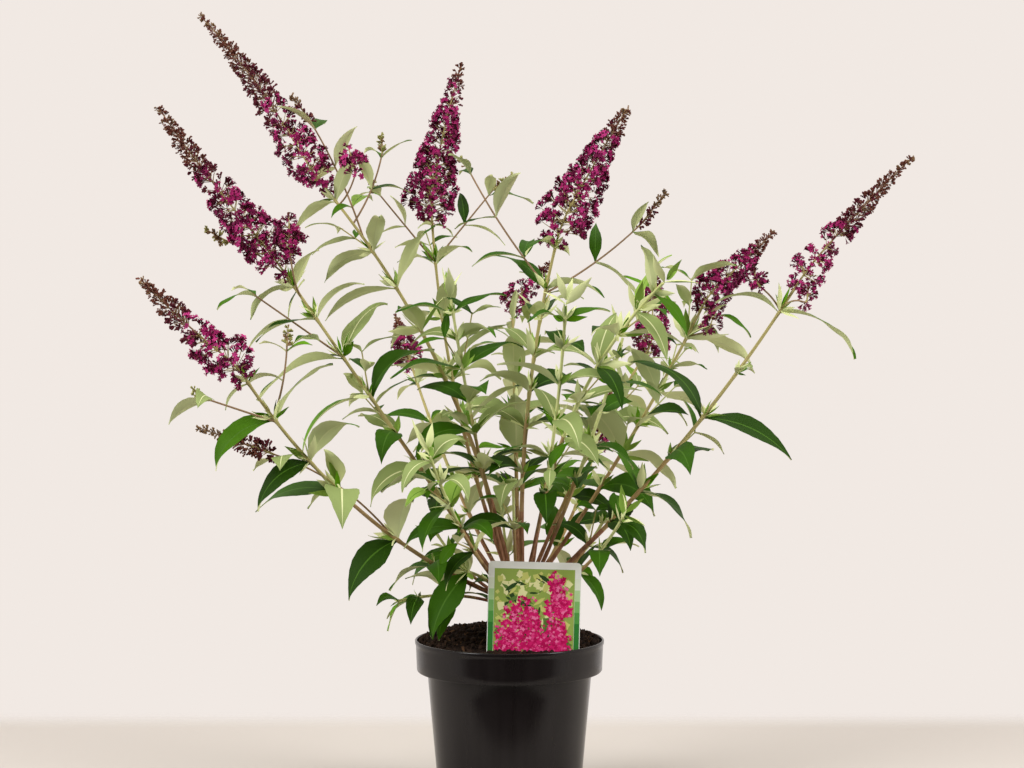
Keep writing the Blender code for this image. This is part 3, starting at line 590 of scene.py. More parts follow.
class Growth:
    """All limbs, leaves and spikes of the bush, grown by one seeded rule from the tables above."""

    def __init__(self, pot: Shape, label: Shape, crown: Shape) -> None:
        """Grows the bush.

        Args:
            pot: The pot's outside with a margin, which nothing grows into.
            label: The picture label with a margin.
            crown: The woody crown, which the canes stand on.
        """
        self.space = Space()
        self.canes: dict[str, Limb] = {}
        self.twigs: list[tuple[Twig, Limb]] = []
        self.shoots: list[tuple[Limb, str]] = []
        self.spikes: list[tuple[Spike, Limb, str]] = []
        self.leaves: list[Leaf] = []
        self.space.take(pot)
        self.space.take(label)
        self.grow_limbs(BVHTree.FromPolygons(*crown))
        for cane in CANES:
            self.grow_cane_leaves(cane)
        for i, (twig, limb) in enumerate(self.twigs):
            self.grow_twig_leaves(twig, limb, random.Random(SEED * 100 + i))
        for cane in CANES:
            self.grow_cane_shoots(cane, cane.shoots, random.Random(2 * SEED + sum(map(ord, cane.name))))

    def grow_limbs(self, head: BVHTree) -> None:
        """Canes, side twigs and spikes, which come before any leaf."""
        for cane in CANES:
            limb = self.seated(cane, head)
            self.canes[cane.name] = limb
            self.take_limb(limb)
            if cane.spike:
                self.grow_spike(cane.spike, limb, cane.name)
        for twig in TWIGS:
            start, _, radius = self.canes[twig.cane].at(twig.at)
            end = start + aim(twig.bearing, 0) * twig.reach + UP * twig.rise
            thick = min(radius * 0.72, 0.0011)
            limb = Limb(bowed(start, end, twig.bow, twig.bearing, 14), thick, thick * 0.8)
            self.twigs.append((twig, limb))
            self.take_limb(limb)
            if twig.spike:
                self.grow_spike(twig.spike, limb, twig.cane)

    def seated(self, cane: Cane, head: BVHTree) -> Limb:
        """A cane's line, its foot slid in along its seat until it is the fitting gap from the crown's head.

        Args:
            cane: The cane's sizes.
            head: The crown's faces.

        Returns:
            The cane's line.
        """
        end = CROWN + aim(cane.bearing, 0) * cane.reach + UP * cane.rise
        outward = aim(cane.bearing, cane.foot)
        out = CROWN_HEAD_RADIUS + 1.2 * cane.thick + 2 * FIT_GAP
        clear = 1.0
        while clear > FIT_GAP * 1.15:
            out -= FIT_GAP / 8
            limb = Limb(bowed(CROWN + outward * out, end, cane.bow, cane.bearing, 40), cane.thick, CANE_TIP_RADIUS)
            rim = limb.rows(0.0, 1.0, 1, 5 if cane.bare else 3)[0]
            edge = [a.lerp(b, k / 8) for a, b in zip(rim, rim[1:] + rim[:1]) for k in range(8)]
            clear = min(head.find_nearest(point)[3] for point in edge)
        return limb

    def take_limb(self, limb: Limb) -> None:
        """Marks a limb's room as taken."""
        steps = max(2, round(limb.length / 0.02))
        self.space.take(loft(limb.rows(0.0, 1.0, steps, 4, LEAF_CLEARANCE)))

    def grow_spike(self, spike: Spike, limb: Limb, cane: str) -> None:
        """A flower spike on a limb's tip, curving from the limb's own way to the way it points.

        Args:
            spike: The spike's sizes.
            limb: The limb that it ends.
            cane: The name of the cane that it belongs to.
        """
        start, way, _ = limb.at(1.0)
        points = [start]
        steps = max(4, round(spike.length / 0.008))
        for i in range(steps):
            share = (i + 0.5) / steps
            course = aim(spike.bearing, spike.climb + spike.curl * (1 - 2 * share))
            lean = way.lerp(course, min(1.0, 4 * share))
            points.append(points[-1] + lean.normalized() * (spike.length / steps))
        line = Limb(points, 0.001, 0.001)
        self.spikes.append((spike, line, cane))
        self.space.take(loft(spike_rows(spike, line, LEAF_CLEARANCE)))

    def pair(self, limb: Limb, share: float, turn: float, rng: random.Random) -> list[Vector]:
        """The directions of two opposite leaves at a knot.

        Args:
            limb: The stem.
            share: Where on it the knot is.
            turn: The turn of the pair about the stem, in degrees.
            rng: The dice, thrown once.

        Returns:
            The two directions.
        """
        _, way, _ = limb.at(share)
        level = way.cross(UP).normalized()
        turned = Quaternion(way, math.radians(turn + rng.uniform(-12, 12))) @ level
        return [(way * math.cos(LEAF_ANGLE) + side * turned * math.sin(LEAF_ANGLE)).normalized()
                for side in (1, -1)]

    def grow_cane_leaves(self, cane: Cane) -> None:
        """A cane's opposite leaves, one pair at each knot."""
        limb = self.canes[cane.name]
        rng = random.Random(SEED + sum(map(ord, cane.name)))
        for share, turn, length in cane.knots:
            for way in self.pair(limb, share, turn, rng):
                grown = length * rng.uniform(0.94, 1.08)
                self.try_leaf(limb, share, way, grown, cane.droop, cane.name, rng)

    def grow_cane_shoots(self, cane: Cane, chance: float, rng: random.Random) -> None:
        """Leafy shoots in some of the axils of a cane's leaves.

        Args:
            cane: The cane's sizes.
            chance: How often an axil has a shoot.
            rng: The dice.
        """
        limb = self.canes[cane.name]
        for share, turn, length in cane.knots:
            for way in self.pair(limb, share, turn, rng):
                if share < 0.93 and rng.random() < chance * (SHOOTS_LOW if share < 0.6 else SHOOTS_HIGH):
                    self.grow_shoot(limb, share, way, cane.name, rng, length, cane.droop)

    def try_leaf(self, limb: Limb, share: float, way: Vector, length: float, droop: float, cane: str,
                 rng: random.Random) -> None:
        """Adds a leaf where there is room for it, turned or shortened a little if need be, or none.

        Args:
            limb: The stem that it grows on.
            share: Where on the stem.
            way: The direction that it would like to set off in.
            length: Its length where there is room.
            droop: How far it bends down, in degrees.
            cane: The name of its cane.
            rng: The dice, thrown twice.
        """
        root, _, _ = limb.at(share)
        turned = facing(root.z)
        bend = droop * rng.uniform(0.7, 1.3) * (1 - FACING_BEND * turned * way.y)
        roll = math.radians(rng.uniform(-LEAF_ROLL, LEAF_ROLL) + FACING_ROLL * turned * way.x)
        for turn, lift, size in LEAF_TRIES:
            side = way.cross(UP).normalized()
            tried = Quaternion(UP, math.radians(turn)) @ Quaternion(side, math.radians(lift)) @ way
            line = leaf_line(root, tried, length * size, bend)
            across = Quaternion(tried, roll) @ tried.cross(UP).normalized()
            leaf = Leaf(line, across, length * size, length * size * slenderness(root.z), tried, bend, cane)
            clear_from = min(0.3, 0.009 / leaf.length)
            sections = (clear_from, *leaf_sections(leaf.length)[1:])
            shape = loft(leaf.rows(sections, LEAF_CLEARANCE))
            if self.space.free(shape):
                self.space.take(shape)
                self.leaves.append(leaf)
                return

    def grow_shoot(self, limb: Limb, share: float, way: Vector, cane: str, rng: random.Random, size: float,
                   droop: float) -> None:
        """A short leafy shoot in a leaf's axil, where there is room for its stem.

        Args:
            limb: The stem that it grows on.
            share: Where on the stem.
            way: The direction of the leaf below it.
            cane: The name of its cane.
            rng: The dice.
            size: The length of the leaf below it.
            droop: How far its leaves bend down, in degrees.
        """
        root, along, _ = limb.at(share)
        start = root + along * 0.003
        lean = (way * 0.55 + along * 0.6).normalized()
        length = size * rng.uniform(0.35, 0.8)
        shoot = Limb([start, start + lean * length], 0.0009, 0.0007)
        if not self.space.free(loft(shoot.rows(0.35, 1.0, 3, 4, LEAF_CLEARANCE))):
            return
        self.space.take(loft(shoot.rows(0.1, 1.0, 3, 4, LEAF_CLEARANCE)))
        self.shoots.append((shoot, cane))
        places = (0.97, 0.52) if length > 0.04 else (0.97,)
        for k, place in enumerate(places):
            for side in self.pair(shoot, place, 90 * k + rng.uniform(0, 90), rng):
                self.try_leaf(shoot, place, side, size * rng.uniform(0.4, 0.62), droop * 0.8, cane, rng)

    def grow_twig_leaves(self, twig: Twig, limb: Limb, rng: random.Random) -> None:
        """Leaf pairs along a side twig.

        Args:
            twig: The twig's sizes.
            limb: Its line.
            rng: The dice.
        """
        for k in range(twig.pairs):
            share = 0.93 - (0.34 if twig.pairs > 2 else 0.42) * k
            for way in self.pair(limb, share, 90 * k + rng.uniform(-30, 30), rng):
                self.try_leaf(limb, share, way, twig.leaf * rng.uniform(0.8, 1.1), 50, twig.cane, rng)


def pot_rows(rim: float = POT_RIM_RADIUS, top: float = POT_HEIGHT, sides: int = 30) -> list[list[Vector]]:
    """Rings of the pot's outside, from its underside to its rim.

    Args:
        rim: The rim's radius.
        top: The rim's height.
        sides: How many points a ring has.

    Returns:
        The rings.
    """
    step = POT_HEIGHT - POT_COLLAR_DEPTH
    profile = ((0.0, 0.0), (POT_FOOT_RADIUS, 0.0), (POT_STEP_RADIUS, step - 0.0012), (rim - 0.0020, step),
               (rim, top - 0.0012), (rim - 0.0010, top))
    return [circle(radius, height, sides) for radius, height in profile]


def label_outline(grown: float, corner_steps: int = 3) -> list[tuple[float, float]]:
    """The card's outline with its stake, across and up, before it is placed.

    Args:
        grown: A margin added all round.
        corner_steps: How finely its corners are rounded.

    Returns:
        The outline's corners.
    """
    half = LABEL_WIDTH / 2 + grown
    stake = LABEL_STAKE_WIDTH / 2 + grown
    top = LABEL_TOP + grown
    right = [(0.0, LABEL_TIP - 1.5 * grown), (stake, LABEL_TIP + 0.016), (stake, LABEL_SHOULDER - 0.006 - grown),
             (half - 0.006, LABEL_SHOULDER - grown), (half, LABEL_SHOULDER + 0.006)]
    for i in range(corner_steps + 1):
        a = math.pi / 2 * i / corner_steps
        right.append((half - LABEL_CORNER * (1 - math.cos(a)), top - LABEL_CORNER * (1 - math.sin(a))))
    return right + [(-x, z) for x, z in reversed(right[1:])]


def label_place() -> Matrix:
    """Where the label stands: its shoulder's middle, with its slight lean."""
    return Matrix.Translation((LABEL_X, -LABEL_FORWARD, LABEL_SHOULDER)) @ Matrix.Rotation(LABEL_TILT, 4, "Y")


def label_shape(grown: float) -> Shape:
    """The card with its stake, or with a margin the room that it takes."""
    outline = label_outline(grown)
    place = label_place()
    rows = []
    for y in (-LABEL_THICKNESS / 2 - grown, LABEL_THICKNESS / 2 + grown):
        rows.append([place @ Vector((x, y, z - LABEL_SHOULDER)) for x, z in outline])
    return loft(rows)


def crown_rows(sides: int) -> list[list[Vector]]:
    """Rings of the woody crown: flared at its flat foot, waisted, with a round head."""
    base = SOIL_CROWN_HEIGHT + FIT_GAP
    profile = [(0.0, base), (CROWN_FLARE_RADIUS, base), (CROWN_FLARE_RADIUS * 0.86, base + 0.003),
               (CROWN_NECK_RADIUS, base + 0.009)]
    for climb in (-40, -15, 10, 35, 60):
        a = math.radians(climb)
        profile.append((CROWN_HEAD_RADIUS * math.cos(a), CROWN.z + CROWN_HEAD_RADIUS * math.sin(a)))
    profile.append((0.0, CROWN.z + CROWN_HEAD_RADIUS))
    offset = Vector((CROWN_X, 0.0, 0.0))
    return [[point + offset for point in circle(radius, height, sides)] for radius, height in profile]


def linear(colour: tuple[int, int, int]) -> tuple[float, float, float, float]:
    """A screen colour, each channel from 0 to 255, as the shader takes it."""
    parts = [c / 255 for c in colour]
    made = [p / 12.92 if p <= 0.04045 else ((p + 0.055) / 1.055) ** 2.4 for p in parts]
    return made[0], made[1], made[2], 1.0


@dataclass(frozen=True)
class Finish:
    """One finish: a screen colour, perhaps a second one in patches, gloss, and the relief of its grain."""

    name: str
    colour: tuple[int, int, int]
    rough: float
    grain: float = 500.0
    relief: float = 0.0002
    strength: float = 0.35
    sheen: float = 0.0
    second: tuple[int, int, int] | None = None
    patch: float = 120.0
    stretch: float = 1.0
    coat: float = 0.0
    shine: float = 0.10

    def make(self) -> bpy.types.Material:
        """The finish as a node material, made once.

        Returns:
            The material.
        """
        made = bpy.data.materials.get(self.name)
        if made:
            return made
        made = bpy.data.materials.new(self.name)
        made.use_nodes = True
        nodes, links = made.node_tree.nodes, made.node_tree.links
        shader = nodes["Principled BSDF"]
        shader.inputs["Base Color"].default_value = linear(self.colour)
        shader.inputs["Roughness"].default_value = self.rough
        shader.inputs["Sheen Weight"].default_value = self.sheen
        shader.inputs["Coat Weight"].default_value = self.coat
        shader.inputs["Specular IOR Level"].default_value = self.shine
        place = nodes.new("ShaderNodeTexCoord")
        scale = nodes.new("ShaderNodeMapping")
        scale.inputs["Scale"].default_value = (1.0, 1.0, self.stretch)
        links.new(place.outputs["Object"], scale.inputs["Vector"])
        grain = nodes.new("ShaderNodeTexNoise")
        grain.inputs["Scale"].default_value = self.grain
        grain.inputs["Detail"].default_value = 3.0
        links.new(scale.outputs["Vector"], grain.inputs["Vector"])
        bump = nodes.new("ShaderNodeBump")
        bump.inputs["Strength"].default_value = self.strength
        bump.inputs["Distance"].default_value = self.relief
        links.new(grain.outputs["Fac"], bump.inputs["Height"])
        links.new(bump.outputs["Normal"], shader.inputs["Normal"])
        if self.second:
            patches = nodes.new("ShaderNodeTexNoise")
            patches.inputs["Scale"].default_value = self.patch
            patches.inputs["Detail"].default_value = 5.0
            links.new(scale.outputs["Vector"], patches.inputs["Vector"])
            ramp = nodes.new("ShaderNodeValToRGB")
            ramp.color_ramp.elements[0].position = 0.35
            ramp.color_ramp.elements[0].color = linear(self.colour)
            ramp.color_ramp.elements[1].position = 0.66
            ramp.color_ramp.elements[1].color = linear(self.second)
            links.new(patches.outputs["Fac"], ramp.inputs["Fac"])
            links.new(ramp.outputs["Color"], shader.inputs["Base Color"])
        return made


class Tint(Enum):
    """Plain tints of leaves, stems and blossom, dealt out leaf by leaf and spray by spray."""

    LEAF_DEEP = Finish("leaf_deep_green", (36, 68, 2), 0.56, 900, 0.0002, 0.5)
    LEAF_DARK = Finish("leaf_dark_green", (50, 90, 3), 0.56, 900, 0.0002, 0.5)
    LEAF_MID = Finish("leaf_mid_green", (66, 110, 4), 0.58, 900, 0.0002, 0.5)
    LEAF_FRESH = Finish("leaf_fresh_green", (94, 144, 16), 0.58, 900, 0.0002, 0.5)
    LEAF_YOUNG = Finish("leaf_young_green", (136, 170, 70), 0.6, 900, 0.0002, 0.5)
    LEAF_FELT = Finish("leaf_felted_green", (142, 158, 96), 0.75, 1000, 0.0002, 0.4)
    UNDER_SAGE = Finish("underside_sage", (222, 228, 166), 0.8, 1200, 0.0002, 0.3)
    UNDER_GREY = Finish("underside_grey_green", (206, 214, 156), 0.8, 1200, 0.0002, 0.3)
    UNDER_WARM = Finish("underside_warm", (224, 229, 172), 0.8, 1200, 0.0002, 0.3)
    RIB_TOP = Finish("midrib_top", (72, 112, 30), 0.55, 900, 0.0002, 0.3)
    RIB_UNDER = Finish("midrib_underside", (220, 224, 170), 0.7, 900, 0.0002, 0.3)
    WOOD = Finish("stem_brown", (156, 108, 84), 0.8, 700, 0.0005, 0.7)
    TAN = Finish("stem_tan", (170, 142, 98), 0.75, 700, 0.0004, 0.6)
    OLIVE = Finish("stem_olive", (182, 170, 112), 0.7, 700, 0.0003, 0.5)
    PALE = Finish("stem_pale_green", (204, 208, 142), 0.7, 700, 0.0003, 0.5)
    PURPLE_STEM = Finish("stem_purple_brown", (156, 128, 98), 0.7, 700, 0.0003, 0.5)
    PETAL = Finish("petal_magenta", (150, 28, 90), 0.62, 1500, 0.0002, 0.3)
    PETAL_BRIGHT = Finish("petal_bright", (180, 52, 118), 0.62, 1500, 0.0002, 0.3)
    PETAL_DEEP = Finish("petal_deep", (114, 24, 68), 0.62, 1500, 0.0002, 0.3)
    TUBE = Finish("flower_tube", (108, 40, 64), 0.7, 1500, 0.0002, 0.3)
    BUD_PURPLE = Finish("bud_purple", (100, 40, 52), 0.7, 1500, 0.0002, 0.3)
    BUD_BROWN = Finish("bud_brown", (112, 66, 54), 0.75, 1500, 0.0002, 0.3)
    BUD_OLIVE = Finish("bud_olive", (136, 108, 78), 0.75, 1500, 0.0002, 0.3)
    BUD_GREEN = Finish("bud_green", (168, 166, 104), 0.75, 1500, 0.0002, 0.3)


class Part(Enum):
    """Finishes of the pot, the compost, the label and the bark."""

    PLASTIC = Finish("pot_black_plastic", (22, 18, 18), 0.20, 1400, 0.0001, 0.15, 0.0, (28, 24, 24), 90, 0.06, 0.0, 0.26)
    SOIL = Finish("compost_dark", (28, 20, 16), 0.95, 900, 0.001, 0.9, 0.0, (46, 34, 27), 220)
    CRUMB = Finish("compost_crumb", (54, 39, 31), 0.95, 1200, 0.0006, 0.8, 0.0, (20, 14, 11), 160)
    CHIP = Finish("compost_bark_chip", (96, 70, 50), 0.9, 900, 0.0005, 0.7, 0.0, (60, 42, 30), 200, 0.4)
    BARK = Finish("bark_brown", (168, 124, 96), 0.85, 500, 0.0008, 0.8, 0.0, (122, 84, 64), 260, 0.25)
    BARK_TAN = Finish("bark_tan", (172, 142, 102), 0.8, 500, 0.0006, 0.7, 0.0, (136, 104, 78), 260, 0.25)
    CARD = Finish("label_card", (236, 236, 228), 0.35, 900, 0.0001, 0.1, 0.0, (230, 231, 222), 60, 1.0, 0.3)


class Skin:
    """Points, faces and finishes of one piece, gathered before its mesh is made."""

    def __init__(self, finishes: list[Finish]) -> None:
        """Starts empty.

        Args:
            finishes: The finishes that its faces pick from.
        """
        self.finishes = finishes
        self.points: list[Vector] = []
        self.faces: list[tuple[int, ...]] = []
        self.picks: list[int] = []

    def add(self, shape: Shape, finish: Finish) -> None:
        """Adds a skin, all in one finish."""
        self.add_mixed(shape, [finish] * len(shape[1]))

    def add_mixed(self, shape: Shape, finishes: list[Finish]) -> None:
        """Adds a skin whose faces have their own finishes.

        Args:
            shape: The skin's points and faces.
            finishes: One finish for each face.
        """
        points, faces = shape
        base = len(self.points)
        self.points.extend(points)
        self.faces.extend(tuple(base + i for i in face) for face in faces)
        self.picks.extend(self.finishes.index(finish) for finish in finishes)

    def make(self, name: str, sharp: float = 60.0) -> bpy.types.Object:
        """Makes the mesh, its faces turned outwards.

        Args:
            name: The piece's name.
            sharp: The angle in degrees from which an edge stays sharp.

        Returns:
            The piece.
        """
        mesh = bpy.data.meshes.new(name)
        mesh.from_pydata(self.points, [], self.faces)
        for finish in self.finishes:
            mesh.materials.append(finish.make())
        mesh.polygons.foreach_set("material_index", self.picks)
        bm = bmesh.new()
        bm.from_mesh(mesh)
        bmesh.ops.recalc_face_normals(bm, faces=bm.faces)
        bm.to_mesh(mesh)
        bm.free()
        mesh.shade_smooth()
        mesh.set_sharp_from_angle(angle=math.radians(sharp))
        made = bpy.data.objects.new(name, mesh)
        bpy.context.scene.collection.objects.link(made)
        return made


def settle(piece: bpy.types.Object, nodes: list[str]) -> None:
    """Rides a piece on the body, and hides the solids that it stands for.

    Args:
        piece: The piece.
        nodes: The solids.
    """
    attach(piece, "root")
    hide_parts(*nodes)
    LOG.info("%s: %d faces", piece.name, len(piece.data.polygons))


@dataclass(frozen=True)
class Spray:
    """Places for one small shape: where each stands, the way it points, its turn about that way, and its size."""

    places: list[tuple[Vector, Vector, float, float]]
    template: bpy.types.Object
    first: Finish
    second: Finish
    spread: float = 0.08
    seed: int = SEED


class SprayTree:
    """A Geometry Nodes tree that sets one small shape on every place of a spray."""

    def __init__(self) -> None:
        """Builds the tree with its named inputs."""
        self.tree = bpy.data.node_groups.new("spray", "GeometryNodeTree")
        face = self.tree.interface
        face.new_socket("Places", in_out="INPUT", socket_type="NodeSocketGeometry")
        face.new_socket("Shape", in_out="INPUT", socket_type="NodeSocketObject")
        face.new_socket("Size Spread", in_out="INPUT", socket_type="NodeSocketFloat")
        face.new_socket("Seed", in_out="INPUT", socket_type="NodeSocketInt")
        face.new_socket("First Finish", in_out="INPUT", socket_type="NodeSocketMaterial")
        face.new_socket("Second Finish", in_out="INPUT", socket_type="NodeSocketMaterial")
        face.new_socket("Shapes", in_out="OUTPUT", socket_type="NodeSocketGeometry")
        nodes, links = self.tree.nodes, self.tree.links
        inputs = nodes.new("NodeGroupInput")
        shape = nodes.new("GeometryNodeObjectInfo")
        links.new(inputs.outputs["Shape"], shape.inputs["Object"])
        aimed = self.attribute("FLOAT_VECTOR", "aim")
        turned = self.attribute("FLOAT", "turn")
        sized = self.attribute("FLOAT", "size")
        align = nodes.new("FunctionNodeAlignRotationToVector")
        align.axis = "Z"
        links.new(aimed, align.inputs["Vector"])
        twist = nodes.new("FunctionNodeAxisAngleToRotation")
        twist.inputs["Axis"].default_value = (0.0, 0.0, 1.0)
        links.new(turned, twist.inputs["Angle"])
        rotate = nodes.new("FunctionNodeRotateRotation")
        rotate.rotation_space = "LOCAL"
        links.new(align.outputs["Rotation"], rotate.inputs["Rotation"])
        links.new(twist.outputs["Rotation"], rotate.inputs["Rotate By"])
        low = self.maths("SUBTRACT", 1.0, inputs.outputs["Size Spread"])
        high = self.maths("ADD", 1.0, inputs.outputs["Size Spread"])
        dice = nodes.new("FunctionNodeRandomValue")
        dice.data_type = "FLOAT"
        sockets = [s for s in dice.inputs if s.enabled]
        links.new(low, next(s for s in sockets if s.name == "Min"))
        links.new(high, next(s for s in sockets if s.name == "Max"))
        links.new(inputs.outputs["Seed"], next(s for s in sockets if s.name == "Seed"))
        size = self.maths("MULTIPLY", sized, next(s for s in dice.outputs if s.enabled))
        place = nodes.new("GeometryNodeInstanceOnPoints")
        links.new(inputs.outputs["Places"], place.inputs["Points"])
        links.new(shape.outputs["Geometry"], place.inputs["Instance"])
        links.new(rotate.outputs["Rotation"], place.inputs["Rotation"])
        links.new(size, place.inputs["Scale"])
        real = nodes.new("GeometryNodeRealizeInstances")
        links.new(place.outputs["Instances"], real.inputs["Geometry"])
        first = nodes.new("GeometryNodeSetMaterial")
        links.new(real.outputs["Geometry"], first.inputs["Geometry"])
        links.new(inputs.outputs["First Finish"], first.inputs["Material"])
        second = nodes.new("GeometryNodeSetMaterial")
        links.new(first.outputs["Geometry"], second.inputs["Geometry"])
        links.new(self.attribute("BOOLEAN", "second"), second.inputs["Selection"])
        links.new(inputs.outputs["Second Finish"], second.inputs["Material"])
        output = nodes.new("NodeGroupOutput")
        links.new(second.outputs["Geometry"], output.inputs["Shapes"])

    def attribute(self, kind: str, name: str) -> bpy.types.NodeSocket:
        """A node that reads a named attribute.

        Args:
            kind: The attribute's type.
            name: Its name.

        Returns:
            The node's output.
        """
        node = self.tree.nodes.new("GeometryNodeInputNamedAttribute")
        node.data_type = kind
        node.inputs["Name"].default_value = name
        return next(s for s in node.outputs if s.enabled)

    def maths(self, operation: str, first: float | bpy.types.NodeSocket,
              second: float | bpy.types.NodeSocket) -> bpy.types.NodeSocket:
        """A Math node.

        Args:
            operation: What it does.
            first: A number or the output that feeds its first input.
            second: The same for its second.

        Returns:
            The node's output.
        """
        node = self.tree.nodes.new("ShaderNodeMath")
        node.operation = operation
        for socket, value in zip(node.inputs, (first, second)):
            if isinstance(value, float):
                socket.default_value = value
            else:
                self.tree.links.new(value, socket)
        return node.outputs[0]

    def grow(self, spray: Spray) -> bpy.types.Object | None:
        """Runs the tree on a spray and keeps the result as a plain mesh.

        Args:
            spray: The places, the shape and its finishes.

        Returns:
            The object, or None where the spray has no places.
        """
        if not spray.places:
            return None
        mesh = bpy.data.meshes.new("places")
        mesh.from_pydata([place[0] for place in spray.places], [], [])
        aims = mesh.attributes.new("aim", "FLOAT_VECTOR", "POINT")
        aims.data.foreach_set("vector", [c for place in spray.places for c in place[1]])
        for name, column in (("turn", 2), ("size", 3)):
            numbers = mesh.attributes.new(name, "FLOAT", "POINT")
            numbers.data.foreach_set("value", [place[column] for place in spray.places])
        made = bpy.data.objects.new("places", mesh)
        bpy.context.scene.collection.objects.link(made)
        modifier = made.modifiers.new("spray", "NODES")
        modifier.node_group = self.tree
        values = {"Shape": spray.template, "Size Spread": spray.spread, "Seed": spray.seed,
                  "First Finish": spray.first.make(), "Second Finish": spray.second.make()}
        for item in self.tree.interface.items_tree:
            if item.name in values:
                modifier[item.identifier] = values[item.name]
        graph = bpy.context.evaluated_depsgraph_get()
        result = bpy.data.meshes.new_from_object(made.evaluated_get(graph))
        made.modifiers.clear()
        made.data = result
        for name in ("aim", "turn", "size", "second"):
            if name in result.attributes:
                result.attributes.remove(result.attributes[name])
        return made


def template(name: str, shape: Shape, second: list[bool], smooth: bool = True) -> bpy.types.Object:
    """A small shape that sprays are made of, kept out of the scene.

    Args:
        name: Its name.
        shape: Its points and faces, standing on the origin along +Z.
        second: For each face, whether it takes the second finish.
        smooth: Whether it is shaded smooth.

    Returns:
        The shape.
    """
    mesh = bpy.data.meshes.new(name)
    mesh.from_pydata(shape[0], [], shape[1])
    marks = mesh.attributes.new("second", "BOOLEAN", "FACE")
    marks.data.foreach_set("value", second)
    bm = bmesh.new()
    bm.from_mesh(mesh)
    bmesh.ops.recalc_face_normals(bm, faces=bm.faces)
    bm.to_mesh(mesh)
    bm.free()
    if smooth:
        mesh.shade_smooth()
        mesh.set_sharp_from_angle(angle=math.radians(60))
    return bpy.data.objects.new(name, mesh)


def join(name: str, objects: list[bpy.types.Object | None]) -> bpy.types.Object:
    """Joins objects into one piece.

    Args:
        name: The piece's name.
        objects: The objects. None is left out.

    Returns:
        The piece.
    """
    found = [obj for obj in objects if obj]
    with bpy.context.temp_override(active_object=found[0], selected_editable_objects=found):
        bpy.ops.object.join()
    found[0].name = name
    found[0].data.name = name
    return found[0]


